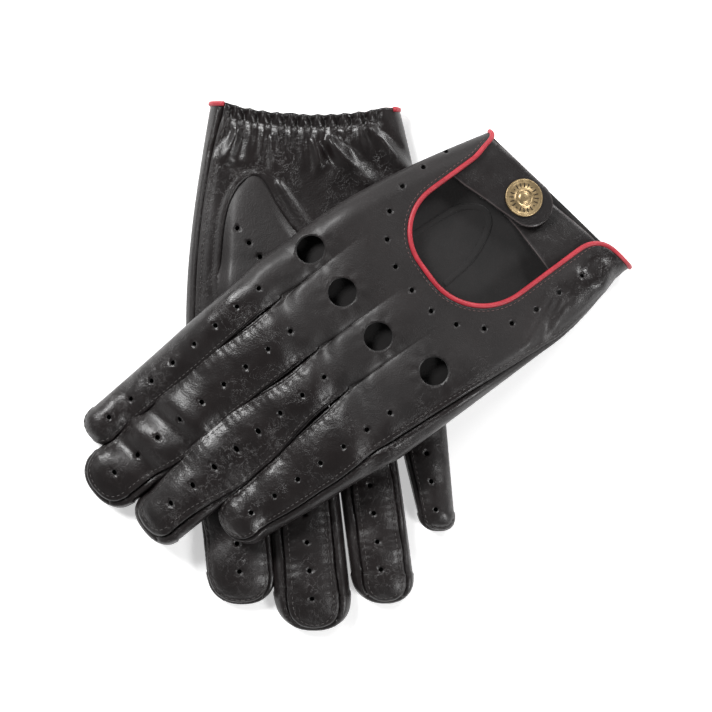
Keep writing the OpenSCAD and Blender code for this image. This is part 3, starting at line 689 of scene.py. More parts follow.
def relief(glove, s, back, upper):
    """What moves the leather outwards, in millimetres, but for the seams' steps."""
    if not upper:
        if not glove.left:
            return np.zeros(len(s.p))
        under = 0.5 * wobble(s.pos, 16, 41) * ease(s.edge / 6)
        hollow = 4.6 * ease((s.p - 34) / 30) * (1 - ease((s.p - 100) / 14))
        return under - hollow * ease(s.edge / 22)
    calm = ease(s.edge / 4)
    if back:
        calm = calm * ease((keyhole_distance(s.pos) - 0.4) / 5)
    out = back_relief(glove, s) if back else palm_relief(glove, s)
    return (out + 0.1 * wobble(s.pos, 2.6, 15) * ease((s.p - 90) / 30)) * calm


def drawn_in(y, p):
    """How far the elastic draws the palm's cuff in, with a scallop at each gather."""
    scallops = 1.25 * ease((1 - (y / 35) ** 2) * 2.2) * (0.5 - 0.5 * np.cos(gather_turn(y)))
    return pulled(y) * hill(p, 0, 24) + scallops * hill(p, 0, 3.4)


def pulled(y):
    """How far the elastic draws the right glove's cuff in at y."""
    return 3.8 * clamp(1 - (y / 34) ** 2) - 1.2


def keyhole_distance(pos):
    """Distance from the keyhole's edge, outside the keyhole."""
    x, y = pos[:, 0], pos[:, 1]
    inner_x = np.minimum(x, KEY_L - KEY_R_HI)
    cy = np.clip(y, KEY_LO + KEY_R_LO, KEY_HI - KEY_R_HI)
    r = np.where(y > cy, KEY_R_HI, KEY_R_LO)
    return np.maximum(np.hypot(x - inner_x, y - cy) - r, 0)


def gloss(glove, s, back):
    """0 where the leather is matte, 1 where it shines: fingers, edges and folds."""
    fingers = 0.88 * ease((s.p - HAND_L + 4) / 22)
    if glove.left and back:
        y = s.pos[:, 1]
        fingers = np.maximum(fingers, 0.9 * hill(y, 42, 12) * ease((s.p - 55) / 30))
        fingers = np.maximum(fingers, hill(s.p, 8, 26) * ease((y - 21) / 9))
        return np.maximum(fingers, 0.12)
    if not glove.left:
        return np.maximum(0.8 * fingers, 0.95 - 0.55 * ease((s.p - 20) / 30))
    return np.full(len(s.p), 0.4)


# ---- meshes ----


def join(parts):
    """One array each of points, of faces and of anything else that the parts give."""
    points, faces, *rest = zip(*parts)
    starts = np.cumsum([0, *(len(p) for p in points)])
    faces = np.concatenate([f + start for f, start in zip(faces, starts)])
    return (np.concatenate(points), faces, *(np.concatenate(values) for values in rest))


def weld(points, faces, shine, tolerance=0.02):
    """Merges points that lie in one place and drops faces that this empties."""
    key = np.round(points / tolerance).astype(int)
    _, first, inverse = np.unique(key, axis=0, return_index=True, return_inverse=True)
    inverse = inverse.ravel()
    faces = inverse[faces]
    a, b, c = faces.T
    good = (a != b) & (b != c) & (a != c)
    return points[first], faces[good], shine[first]


def add_attribute(obj, name, values):
    layer = obj.data.attributes.new(name, "FLOAT", "POINT")
    layer.data.foreach_set("value", values.astype(np.float32))


def add_mesh(name, points, faces, materials, shine=None):
    """A new object from points in metres in the row frame."""
    mesh = bpy.data.meshes.new(name)
    used, faces = np.unique(faces, return_inverse=True)
    mesh.from_pydata(points[used].tolist(), [], faces.reshape(-1, 3).tolist())
    for m in materials:
        mesh.materials.append(m)
    mesh.polygons.foreach_set("use_smooth", [True] * len(mesh.polygons))
    obj = bpy.data.objects.new(name, mesh)
    bpy.context.scene.collection.objects.link(obj)
    if shine is not None:
        add_attribute(obj, "gloss", shine[used])
    return obj


def thicken(obj, thickness, lining, rim):
    """Gives a skin its thickness inwards. Lining and rim are numbers of materials."""
    solid = obj.modifiers.new("thickness", "SOLIDIFY")
    solid.thickness = thickness * MM
    solid.offset = -1
    solid.material_offset, solid.material_offset_rim = lining, rim
    solid.use_even_offset = False
    depsgraph = bpy.context.evaluated_depsgraph_get()
    obj.data = bpy.data.meshes.new_from_object(obj.evaluated_get(depsgraph))
    obj.modifiers.clear()


def normals_of(points, faces):
    a, b, c = (points[faces[:, i]] for i in range(3))
    n, face_n = np.zeros_like(points), np.cross(b - a, c - a)
    for i in range(3):
        np.add.at(n, faces[:, i], face_n)
    return unit(n)


def facing(points, faces, up):
    """The triangles, turned round if the first of them doesn't face up, or down."""
    a, b, c = points[faces[0]]
    return faces if (np.cross(b - a, c - a)[2] > 0) == up else faces[:, ::-1]


def piece(glove, name, points, faces, materials, slot, node=None, body="glove", thick=0, rim=0,
          shine=None, turn=None):
    """A piece of a glove on one of its bodies. Its points are in the glove's frame, or, with
    a turn, in the snap's. One that has a thickness is a skin, lined with its last material."""
    if turn is not None:
        points = on_snap(glove, points, turn)
        faces = faces if glove.left else faces[:, ::-1]
    obj = add_mesh(f"{glove.side}_{name}", glove.row(points), faces, materials, shine)
    if thick:
        thicken(obj, thick, len(materials) - 1, rim)
    if body:
        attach(obj, f"{glove.side}_{body}")
    if node:
        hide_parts(f"{glove.side}_{node}")
    return obj


def grid_faces(rows, cols, round_rows=False, round_cols=False):
    """Two triangles for each cell of a grid of points, which may close on itself."""
    r, c = np.arange(rows - (not round_rows))[:, None], np.arange(cols - (not round_cols))
    after, beside = (r + 1) % rows * cols, (c + 1) % cols
    a, b, a1, b1 = r * cols + c, after + c, r * cols + beside, after + beside
    return np.stack([a, b, b1, a, b1, a1], -1).reshape(-1, 3)


def tube(points, radius, sides=10, flat=1.0):
    """A closed tube along points, its cross-section flattened in Z by flat."""
    points, n = np.asarray(points, float), len(points)
    ahead = np.roll(points, -1, 0) - np.roll(points, 1, 0)
    ahead[0], ahead[-1] = points[1] - points[0], points[-1] - points[-2]
    ahead = unit(ahead)
    side = unit(np.cross(ahead, [0, 0, 1]))
    up = flat * np.cross(side, ahead)
    ring = circle(0, 0, 2, sides)
    radius = np.broadcast_to(radius, (n,))[:, None, None]
    rings = points[:, None] + radius * (ring[:, :1] * side[:, None] + ring[:, 1:] * up[:, None])
    j = np.arange(sides)
    k, end, last = (j + 1) % sides, np.full(sides, n * sides), (n - 1) * sides
    caps = np.stack([end, k, j], 1), np.stack([end + 1, last + j, last + k], 1)
    faces = np.concatenate([grid_faces(n, sides, round_cols=True)[:, ::-1], *caps])
    return np.concatenate([rings.reshape(-1, 3), points[:1], points[-1:]]), faces


# ---- materials ----


class Shader:
    """A material's node tree, built a node at a time."""

    def __init__(self, name):
        self.material = bpy.data.materials.new(name)
        self.material.use_nodes = True
        self.nodes = self.material.node_tree.nodes
        self.links = self.material.node_tree.links
        self.principled = self.nodes["Principled BSDF"]
        self.place = self.add("ShaderNodeTexCoord").outputs["Object"]

    def add(self, kind, **values):
        node = self.nodes.new(kind)
        for name, value in values.items():
            if hasattr(node, name):
                setattr(node, name, value)
            else:
                node.inputs[name.replace("_", " ")].default_value = value
        return node

    def link(self, a, b):
        self.links.new(a, b)

    def noise(self, size, detail=3.0, rough=0.5, warp=0.0, vector=None):
        node = self.add("ShaderNodeTexNoise", Scale=1 / (size * MM), Detail=detail,
                        Roughness=rough, Distortion=warp)
        self.link(vector or self.place, node.inputs["Vector"])
        return node.outputs["Fac"]

    def cells(self, size, feature="F1", randomness=1.0, vector=None):
        node = self.add("ShaderNodeTexVoronoi", feature=feature, Scale=1 / (size * MM),
                        Randomness=randomness)
        self.link(vector or self.place, node.inputs["Vector"])
        return node.outputs["Distance"]

    def ramp(self, value, stops):
        node = self.add("ShaderNodeValToRGB")
        ramp = node.color_ramp
        while len(ramp.elements) < len(stops):
            ramp.elements.new(0.5)
        for element, (at, colour) in zip(ramp.elements, stops):
            element.position = at
            grey = colour if hasattr(colour, "__len__") else (colour,) * 3
            element.color = (*grey, 1)
        self.link(value, node.inputs["Fac"])
        return node.outputs["Color"]

    def math(self, operation, a, b=0.5, clamped=False):
        node = self.add("ShaderNodeMath", operation=operation, use_clamp=clamped)
        for socket, value in zip(node.inputs, (a, b)):
            if isinstance(value, (int, float)):
                socket.default_value = value
            else:
                self.link(value, socket)
        return node.outputs[0]

    def blend(self, fac, a, b):
        node = self.add("ShaderNodeMix", data_type="RGBA")
        for name, value in (("Factor", fac), ("A", a), ("B", b)):
            socket = [i for i in node.inputs if i.name == name and i.enabled][0]
            if isinstance(value, (int, float)):
                socket.default_value = value
            elif isinstance(value, tuple):
                socket.default_value = (*value, 1)
            else:
                self.link(value, socket)
        return [o for o in node.outputs if o.enabled][0]

    def bump(self, height, distance, strength=1.0, before=None):
        node = self.add("ShaderNodeBump", Strength=strength, Distance=distance * MM)
        self.link(height, node.inputs["Height"])
        if before:
            self.link(before, node.inputs["Normal"])
        return node.outputs["Normal"]

    def attribute(self, name):
        return self.add("ShaderNodeAttribute", attribute_name=name).outputs["Fac"]

    def finish(self, colour, roughness, normal, **fixed):
        inputs = self.principled.inputs
        self.link(colour, inputs["Base Color"])
        self.link(roughness, inputs["Roughness"])
        self.link(normal, inputs["Normal"])
        for name, value in fixed.items():
            inputs[name.replace("_", " ")].default_value = value
        return self.material


def leather_material(name, dark, light, matte, shiny, crackle, gloss_layer=True, grainy=1.0):
    """Dressed leather: fine pebbled grain, a web of creases, and wear that shines. Without the
    gloss layer, its cut edges get a painted highlight instead.
    """
    s = Shader(name)
    shine = s.attribute("gloss") if gloss_layer else None
    grain = s.cells(0.62)
    pores = s.noise(0.35, 2.0)
    web = s.ramp(s.noise(4.2, 5.0, 0.62, 0.9), ((0.475, 0.0), (0.5, 1.0), (0.525, 0.0)))
    patches = s.ramp(s.noise(16, 2.0), ((0.42, 0.0), (0.62, 1.0)))
    cracks = s.math("MULTIPLY", web, patches)
    if shine:
        cracks = s.math("MULTIPLY", cracks, s.math("ADD", shine, 0.15, True))
    tone = s.noise(22, 3.0, 0.6)
    colour = s.blend(s.ramp(tone, ((0.3, 0.0), (0.7, 1.0))), dark, light)
    scuffed = s.math("MULTIPLY", cracks, crackle, True)
    colour = s.blend(scuffed, colour, tuple(3.0 * c + 0.01 for c in light))
    # painted highlight: without the gloss layer the colour turns much lighter along the cut edges,
    # where the edge attribute is high
    if not gloss_layer:
        colour = s.blend(s.attribute("edge"), colour, tuple(6.0 * c for c in light))
    rough = s.math("MULTIPLY", s.noise(7, 4.0, 0.6), 0.22)
    if shine:
        base = s.math("MULTIPLY_ADD", shine, shiny - matte)
        base.node.inputs[2].default_value = matte - 0.11
    else:
        base = matte - 0.11
    roughness = s.math("ADD", rough, base, True)
    normal = s.bump(s.noise(2.4, 4.0, 0.62), 0.24, 0.5 * grainy)
    normal = s.bump(grain, 0.12, 0.45 * grainy, normal)
    normal = s.bump(pores, 0.06, 0.40, normal)
    normal = s.bump(cracks, 0.16, 0.55 * grainy, normal)
    return s.finish(colour, roughness, normal, Specular_IOR_Level=0.42, Coat_Weight=0.10,
                    Coat_Roughness=0.25)


def suede_material():
    s = Shader("suede")
    nap = s.noise(1.1, 6.0, 0.7)
    cloud = s.noise(9, 3.0)
    cloud = s.ramp(cloud, ((0.35, 0.0), (0.65, 1.0)))
    colour = s.blend(cloud, (0.0028, 0.0022, 0.0022), (0.0060, 0.0048, 0.0048))
    colour = s.blend(s.ramp(nap, ((0.5, 0.0), (0.75, 0.6))), colour, (0.013, 0.011, 0.0105))
    roughness = s.ramp(nap, ((0.2, 0.82), (0.8, 0.98)))
    return s.finish(colour, roughness, s.bump(nap, 0.25, 0.5), Sheen_Weight=0.06,
                    Sheen_Roughness=0.6)


def piping_material():
    s = Shader("red_piping")
    fine = s.noise(0.5, 4.0, 0.6)
    long = s.noise(6, 3.0)
    shade = s.ramp(long, ((0.35, 0.0), (0.65, 1.0)))
    colour = s.blend(shade, (0.33, 0.016, 0.028), (0.43, 0.028, 0.042))
    roughness = s.ramp(fine, ((0.3, 0.40), (0.7, 0.56)))
    return s.finish(colour, roughness, s.bump(fine, 0.06, 0.35), Specular_IOR_Level=0.5)


def thread_material(name, base, bright):
    s = Shader(name)
    twist = s.noise(0.22, 3.0, 0.6)
    colour = s.blend(s.ramp(twist, ((0.3, 0.0), (0.7, 1.0))), base, bright)
    roughness = s.ramp(twist, ((0.3, 0.45), (0.7, 0.65)))
    return s.finish(colour, roughness, s.bump(twist, 0.05, 0.5), Specular_IOR_Level=0.5)


def elastic_material():
    s = Shader("elastic")
    weave = s.add("ShaderNodeTexWave", Scale=450.0, Distortion=0.6, Detail=2.0)
    s.link(s.place, weave.inputs["Vector"])
    value = weave.outputs["Fac"]
    colour = s.blend(value, (0.010, 0.010, 0.010), (0.030, 0.028, 0.028))
    roughness = s.ramp(value, ((0.2, 0.7), (0.8, 0.9)))
    return s.finish(colour, roughness, s.bump(value, 0.12, 0.5))


def brass_material():
    s = Shader("antique_brass")
    wear = s.noise(2.6, 5.0, 0.65)
    grain = s.noise(0.4, 3.0)
    tarnish = s.ramp(wear, ((0.30, 0.0), (0.56, 1.0)))
    colour = s.blend(tarnish, (0.19, 0.135, 0.070), (0.43, 0.32, 0.175))
    roughness = s.ramp(wear, ((0.3, 0.50), (0.7, 0.36)))
    return s.finish(colour, roughness, s.bump(grain, 0.03, 0.25), Metallic=0.9)


def tarnish_material():
    s = Shader("dark_brass")
    grain = s.noise(0.4, 3.0)
    shade = s.ramp(grain, ((0.3, 0.0), (0.7, 1.0)))
    colour = s.blend(shade, (0.030, 0.021, 0.012), (0.060, 0.043, 0.025))
    roughness = s.ramp(grain, ((0.3, 0.5), (0.7, 0.65)))
    return s.finish(colour, roughness, s.bump(grain, 0.03, 0.3), Metallic=0.6)


LEATHER = leather_material(
    "leather", (0.0072, 0.0055, 0.0055), (0.0135, 0.0106, 0.0105), 0.58, 0.30, 0.20)
# the strap's and tab's leather, whose cut edges carry a painted highlight
STRAP_LEATHER = leather_material(
    "strap_leather", (0.0068, 0.0054, 0.0054), (0.0115, 0.0092, 0.0092), 0.40, 0.3, 0.03,
    gloss_layer=False, grainy=0.4)
SUEDE = suede_material()
PIPING_RED = piping_material()
THREAD = thread_material("thread", (0.030, 0.026, 0.025), (0.085, 0.078, 0.076))
RED_THREAD = thread_material("red_thread", (0.10, 0.045, 0.045), (0.20, 0.12, 0.115))
ELASTIC = elastic_material()
BRASS = brass_material()
TARNISH = tarnish_material()


# ---- panels and fourchettes ----


def leather_sheet(glove, back, upper):
    """One side of the glove: its mesh, where it lies, and what moves it and makes it shine."""
    loop, finger, side = outline(glove, back)
    step = FINE if upper else COARSE
    extra = seams(glove) if upper else np.zeros((0, 2))
    flat, faces = triangulate([loop, *holes(glove, back)], extra, step, 0.55 * step)
    s = glove.lay(*flat.T, upper)
    s.loop, s.finger, s.side = loop, finger, side
    s.faces = facing(s.pos, faces, upper)
    s.normal = normals_of(s.pos, s.faces)
    s.out, s.shine = relief(glove, s, back, upper), gloss(glove, s, back)
    return s


def part_of(glove, s):
    """Which piece each triangle of the upper sheet belongs to: -1 the panel itself, -2
    the other panel where it wraps round, 0 to 2 the fourchettes."""
    m = glove.lay(s.p[s.faces].mean(1), s.q[s.faces].mean(1), True)
    front = np.abs(m.t) < 0.62 * m.rho
    wraps = outer_side(m.k, m.t) | m.on_hand | (front & (m.w > 0))
    part = np.where(wraps, -2, np.where(m.t < 0, m.k - 1, m.k))
    return np.where((m.edge < m.inset) & (m.inset > SEAM_SEEN), part, -1)


def without_islands(faces, part, least=60):
    """The same parts, with each small island given to the part around it."""
    n = len(faces)
    edges = np.sort(np.concatenate([faces[:, [0, 1]], faces[:, [1, 2]], faces[:, [2, 0]]]), 1)
    order = np.lexsort((edges[:, 1], edges[:, 0]))
    edges, owner = edges[order], np.tile(np.arange(n), 3)[order]
    twin = (edges[1:] == edges[:-1]).all(1)
    a, b = owner[:-1][twin], owner[1:][twin]
    for _ in range(2):
        same = part[a] == part[b]
        label, before = np.arange(n), None
        while before is None or (label != before).any():
            before = label.copy()
            low = np.minimum(label[a[same]], label[b[same]])
            np.minimum.at(label, a[same], low)
            np.minimum.at(label, b[same], low)
            label = label[label]
        small = np.bincount(label, minlength=n)[label] < least
        for island in np.unique(label[small]):
            mine = label == island
            around = part[np.concatenate([b[mine[a] & ~mine[b]], a[mine[b] & ~mine[a]]])]
            if len(around):
                values, counts = np.unique(around, return_counts=True)
                part[mine] = values[counts.argmax()]
    return part


def wall(top, bottom, on, rows=5):
    """The fourchette's standing part: between both skins' edges, round from fork to tip."""
    run = np.roll(top, -1, 0) - np.roll(top, 1, 0)
    outward = unit(np.stack([run[:, 1], -run[:, 0], 0 * run[:, 0]], 1))
    u = np.linspace(0, 1, rows + 1)
    bulge = np.minimum(0.1 * (top - bottom)[:, 2:3] * np.sin(pi * u), 0.32)
    points = lerp(top[:, None], bottom[:, None], u[:, None]) + outward[:, None] * bulge[..., None]
    faces = grid_faces(len(top), rows + 1, round_rows=True).reshape(len(top), -1, 3)[on]
    return points.reshape(-1, 3), faces.reshape(-1, 3)


def build_leather(glove):
    """Both panels and the three fourchettes of one glove."""
    up, down = leather_sheet(glove, glove.left, True), leather_sheet(glove, not glove.left, False)
    part = without_islands(up.faces, part_of(glove, up))
    skins = {}
    for key in np.unique(part):
        out = up.out + sewn_edge(up, key == -1)
        pos = up.pos + up.normal * out[:, None]
        if not glove.left:
            pos[:, 0] += drawn_in(pos[:, 1], up.p)
        skins[key] = (pos, up.faces[part == key], up.shine)
    pos = down.pos + down.normal * down.out[:, None]
    if not glove.left:
        pos[:, 0] += pulled(pos[:, 1]) * hill(down.p, 0, 24)
    names = ("back_panel", "palm_panel") if glove.left else ("palm_panel", "back_panel")
    lower = [(pos, down.faces, down.shine), *([skins[-2]] if -2 in skins else [])]
    pieces = [(names[0], [skins[-1]], SKIN_T, 1), (names[1], lower, SKIN_T, 1)]
    edges = [glove.lay(*up.loop.T, upper).pos for upper in (True, False)]
    for i, name in enumerate(("index", "middle", "ring")):
        on = ((up.side == 1) & (up.finger == i)) | ((up.side == -1) & (up.finger == i + 1))
        points, faces = wall(*edges, on)
        parts = [(points, faces[:, ::-1], np.full(len(points), 0.55))]
        parts += [skins[i]] if i in skins else []
        pieces.append(("fourchette_" + name, parts, FOURCHETTE_T, 0))
    for node, parts, thick, rim in pieces:
        points, faces, shine = weld(*join(parts))
        piece(glove, node + "_leather", points, faces, [LEATHER, SUEDE], "leather", node,
              thick=thick, rim=rim, shine=shine)


# ---- thumbs ----


def thumb_outline(glove):
    """The thumb's edge as it lies on the palm, as x and y."""
    r = THUMB_W / 2
    if glove.left:
        root, tip = np.array(THUMB_ROOT), np.array((92.0, 21.0))
        a = np.degrees(np.arctan2(*(tip - root)[::-1]))
        ends = (arc(*tip, r, a - 90, a + 90, 1.2), arc(*root, r, a + 90, a + 270, 1.2))
        return np.concatenate(ends)
    # the right thumb lies open: an arch at its root, and wide where it was folded
    tip = arc(97, 15, r, -20, 110, 1.2)
    return smooth_loop(np.concatenate([OPEN_THUMB_ROOT, tip, OPEN_THUMB_SIDE]), 1.2)


def smooth_loop(points, step):
    """A closed smooth curve through points, cut into even steps."""
    for _ in range(3):
        ahead = np.roll(points, -1, 0)
        points = np.stack([lerp(points, ahead, 0.25), lerp(points, ahead, 0.75)], 1).reshape(-1, 2)
    closed = np.concatenate([points, points[:1]])
    total = route_length(closed)[-1]
    return on_route(closed, np.linspace(0, total, round(total / step), endpoint=False))


def edge_distance(points, loop):
    tree = tree_of(loop)
    return np.array([tree.find((x, y, 0))[2] for x, y in points])


def build_thumb(glove):
    loop, vents = thumb_outline(glove), []
    if not glove.left:
        loop, vents = shrink(loop, -1.5), [circle(x, y, VENT_D) for x, y in THUMB_VENTS]
    inner = THUMB_H - 2 * LEATHER_T
    for name, top in (("front", not glove.left), ("back", glove.left)):
        flat, faces = triangulate([loop, *(vents if top else [])], np.zeros((0, 2)), 1.3, 0.7)
        d = edge_distance(flat, loop)
        x, y = flat.T
        round_up = np.sqrt(np.maximum(1 - (1 - clamp(d / 10)) ** 2, 0))
        grow = ease((x - 26) / 42)
        if glove.left:
            high = 2 * LEATHER_T + inner * round_up * lerp(0.5, 1, grow)
            z = drape(x, y) - 0.3 - SKIN_T - (0 if top else high)
        else:
            # flush with the palm at its root, and lying on the palm past the hole
            uneven = wobble(np.stack([x, y, 0 * x], 1), 14, 51)
            over = 0.1 + inner * 0.55 * grow * round_up + 0.25 * uneven
            z = GLOVE_H - 0.9 + 1.9 * ease((x - HOLE_END + 14) / 14)
            z = z + (0.5 * ease(d / 4) + over * ease(d / 6) if top else -1.1)
        pos, node = np.stack([x, y, z], 1), "thumb_" + name
        piece(glove, node + "_leather", pos, facing(pos, faces, top), [LEATHER, SUEDE], "leather",
              node, thick=SKIN_T, rim=1, shine=np.full(len(pos), 0.12))


# ---- piping, hem and elastic ----


def build_piping(glove):
    """The red bead: up one cuff corner, along the cuff, round the keyhole and back."""
    pos = glove.lay(*cuff_edge(glove, 1.0), glove.left).pos
    if not glove.left:
        for wrap, start, way in ((6.5, glove.q_all, -1), (10.0, 0.0, 1)):
            over = start + way * np.arange(0.5, wrap, 1.0)
            more = glove.lay(0 * over, over, True).pos
            pos = np.concatenate([more[::-1], pos] if way < 0 else [pos, more])
    ahead = np.gradient(pos, axis=0)
    off = 0.7 * unit(np.stack([ahead[:, 1], -ahead[:, 0], 0 * ahead[:, 0]], 1))
    off *= np.sign(np.sum(off[:, :2] * ([20, -8] - pos[:, :2]), 1, keepdims=True))
    cuff_zone = pos[:, 0] < glove.cuff_x(pos[:, 1]) + 0.6
    off[cuff_zone] = [-0.7, 0, 0]
    if not glove.left:
        off[:, 0] += pulled(pos[:, 1]) * hill(pos[:, 0], 0, 24)
        shown = ease((np.abs(pos[:, 1]) - 31) / 3)
        least = glove.cuff_x(pos[:, 1]) + lerp(pulled(pos[:, 1]) + 1.7, -0.7, shown)
        off[:, 0] = np.maximum(pos[:, 0] + off[:, 0], least) - pos[:, 0]
    pos = pos + off
    pos[:, 2] += -0.45 if glove.left else 0.75
    for _ in range(6):
        pos[1:-1] = (pos[:-2] + 2 * pos[1:-1] + pos[2:]) / 4
    pos[:, 2] = np.maximum(pos[:, 2], 1.12 * PIPING_R)
    bead = tube(pos, PIPING_R * (1 + 0.05 * wobble(pos, 5, 61)), 14)
    piece(glove, "piping_bead", *bead, [PIPING_RED], "red_piping", "piping")
    # the bead's folded leather runs under the back panel's edge
    inner = pos - 1.6 / 0.7 * off * [1, 1, 0] + [0, 0, -0.55 if glove.left else 0.45]
    inner = inner[~cuff_zone & (inner[:, 0] > glove.cuff_x(inner[:, 1]) + 12)]
    from_end = np.minimum(np.arange(len(inner)), np.arange(len(inner))[::-1])
    flange = tube(inner, 0.2 + 1.3 * ease(from_end / 8), 8, 0.18)
    piece(glove, "piping_flange", *flange, [PIPING_RED], "red_piping")


def thumb_seam(glove):
    """The turned-in seam round the left thumb's root, seen through the keyhole."""
    bends = THUMB_SEAM
    for _ in range(4):
        middle = [lerp(bends[:-1], bends[1:], t) for t in (0.25, 0.75)]
        bends = np.concatenate([bends[:1], np.stack(middle, 1).reshape(-1, 2), bends[-1:]])
    s = glove.lay(*glove.find(*bends.T), False)
    lift = SKIN_T - relief(glove, s, False, False)
    seam = tube(s.pos + lift[:, None] * [0, 0, 1], 1.5, 10, 0.5)
    piece(glove, "thumb_seam", *seam, [SUEDE], "suede")


def inside_strip(glove, x0, x1, thick, name, material, slot, node):
    """A strip on the palm's inner face along the cuff."""
    rows = np.linspace(x0, x1, 9)
    cols = np.linspace(-CUFF_W / 2 + SIDE_FLAT, CUFF_W / 2 - SIDE_FLAT, 90)
    x, y = (values.ravel() for values in np.meshgrid(rows, cols, indexing="ij"))
    x = x + glove.cuff_x(y) + (0 if glove.left else pulled(y) + 1.0)
    z = glove.floor(x, y) + (1.1 if glove.left else GLOVE_H - 3.6)
    z = z + 0.3 * np.cos(2 * pi * y / 5.4 + 1.2 * wobble(np.stack([x, y, z], 1), 9, 71))
    faces = grid_faces(len(rows), len(cols))
    if not glove.left:
        faces = faces[:, ::-1]
    points = np.stack([x, y, z], 1)
    piece(glove, f"{node}_{name}", points, faces, [material], slot, node, thick=thick)


# ---- strap, tab and snap ----


def on_snap(glove, points, turn):
    """From the snap's frame to the glove's: z = 0 is the back's outer face."""
    m = Matrix.Translation((*SNAP, 0.0))
    if glove.left:
        tilt = Vector((-SIDE_FALL, -CUFF_RISE, 0))
        m = Matrix.Translation((*SNAP, float(drape(*SNAP)) + GLOVE_H))
        m = m @ Matrix.Rotation(atan(tilt.length), 4, tilt.normalized())
    else:
        m = m @ Matrix.Diagonal((1, 1, -1, 1))
    m = np.array(m @ Matrix.Rotation(radians(turn), 4, "Z"))
    return np.asarray(points, float) @ m[:3, :3].T + m[:3, 3]


def strip_layer(glove, turn, length, half, depth, name, material, slot, slant=0.0, **how):
    """A layer of strap: length gives x along it, half its half width at x, depth its top.
    The whole outline is rolled over a little, as cut leather is."""
    rows, cols = len(length), 19
    across = np.sin(np.linspace(-1, 1, cols) * pi / 2)
    x, h = np.repeat(length, cols), np.repeat(half(length), cols)
    y = (across * half(length)[:, None]).ravel()
    near = h - np.abs(y)
    top = -depth(x) + 0.18 * (1 - (y / np.maximum(h, 0.1)) ** 2)
    top = top - 0.25 * hill(near, 0, 0.7) - 0.10 * hill(near, 2.1, 0.5)
    top = top + 0.10 * wobble(np.stack([x, y, 0 * x], 1), 9, 81 + glove.g) * ease(near / 2)
    x = x + slant * y * (1 - ease((x - length[0]) / 8))
    points = np.concatenate([np.stack([x, y, z], 1) for z in (top, top - STRAP_T + LAYER_GAP)])
    number, faces = np.arange(rows * cols).reshape(rows, cols), grid_faces(rows, cols)
    rim = np.concatenate([number[:, 0], number[-1, 1:], number[-2::-1, -1], number[0, -2:0:-1]])
    a, b, under = rim, np.roll(rim, -1), rows * cols
    sides = np.stack([a, a + under, b + under, a, b + under, b], 1).reshape(-1, 3)
    faces = np.concatenate([faces, faces[:, ::-1] + under, sides])
    obj = piece(glove, name + "_leather", points, faces, [material], slot, turn=turn, **how)
    # a thin band along the cut outline, which the strap leather paints lighter as a painted
    # highlight
    add_attribute(obj, "edge", np.tile(hill(near, 0, 0.3), 2))
    return obj


def build_strap(glove):
    side, depth, turn = glove.side, STRAP_DEPTH[glove.g], radians(STRAP_TURN)
    r = STRAP_W / 2
    body_end = STRAP_END - r
    straight = np.linspace((KEY_LO - SNAP[1]) / sin(turn) - 1.2, body_end, 44)
    bow = np.radians(np.linspace(4, 89, 16))
    length = np.concatenate([straight, body_end + r * np.sin(bow)])

    def half(x):
        body = lerp(STRAP_ROOT_W, STRAP_W, clamp((x + STRAP_REACH) / (body_end + STRAP_REACH))) / 2
        past = np.maximum(x - body_end, 0)
        w = np.where(past > 0, np.sqrt(np.maximum(r**2 - past**2, 0.01)), body)
        return w if glove.left else w - 0.7 * ease((x + 12) / 12) * w / body

    def dip(x):
        root = ease((-STRAP_REACH + 3 - x) / 5)
        return lerp(depth, ROOT_DEPTH[glove.g] + 0.1, root) - 0.35 * hill(x, -13, 5)

    bend = on_snap(glove, [[x - STRAP_REACH, 0, -depth] for x in HINGE_BEND], STRAP_TURN)
    root_row, end_row = (Vector(v) for v in glove.row(bend))
    for name, lower, material, slot, nodes in (
            ("strap", 0.0, STRAP_LEATHER, "leather", ("strap", "strap_root")),
            ("strap_lining", STRAP_T + LAYER_GAP, SUEDE, "suede", ("strap_lining",))):
        obj = strip_layer(
            glove, STRAP_TURN, length, half, lambda x, d=lower: dip(x) + d, name, material, slot,
            slant=-1 / tan(turn), body=None)
        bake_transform(obj)
        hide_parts(*(f"{side}_{node}" for node in nodes))


def build_tab(glove):
    turn = TAB_TURN[glove.g]
    r = TAB_W / 2 - (0 if glove.left else 0.9)
    root = (KEY_HI - SNAP[1]) / sin(radians(turn))
    stud_depth = STRAP_DEPTH[glove.g] + 2 * (STRAP_T + LAYER_GAP) + SOCKET_H + 0.35
    tab_depth = stud_depth + PLATE_T + LAYER_GAP
    bow = np.radians(np.linspace(-89, -4, 14))
    length = np.concatenate([r * np.sin(bow), np.linspace(0, root + 3.2, 40)])

    def half(x):
        body = lerp(r, (TAB_ROOT_W if glove.left else TAB_W) / 2, clamp((x - r) / (root - r)))
        return np.where(x < 0, np.sqrt(np.maximum(r * r - x * x, 0.01)), body)

    def dip(x):
        return lerp(tab_depth, ROOT_DEPTH[glove.g], ease((x - 0.75 * r) / (root - 0.75 * r - 2)))

    strip_layer(glove, turn, length, half, dip, "tab", STRAP_LEATHER, "leather", node="tab")
    strip_layer(glove, turn, length, half, lambda x: dip(x) + STRAP_T + LAYER_GAP, "tab_lining",
                SUEDE, "suede", node="tab_lining")


def lathe(profile, n):
    """Points and triangles of a profile of (r, z) turned round Z."""
    rings = [np.c_[circle(0, 0, 2 * r, n), np.full(n, z)] for r, z in profile]
    return np.concatenate(rings), grid_faces(len(profile), n, round_cols=True)[:, ::-1]


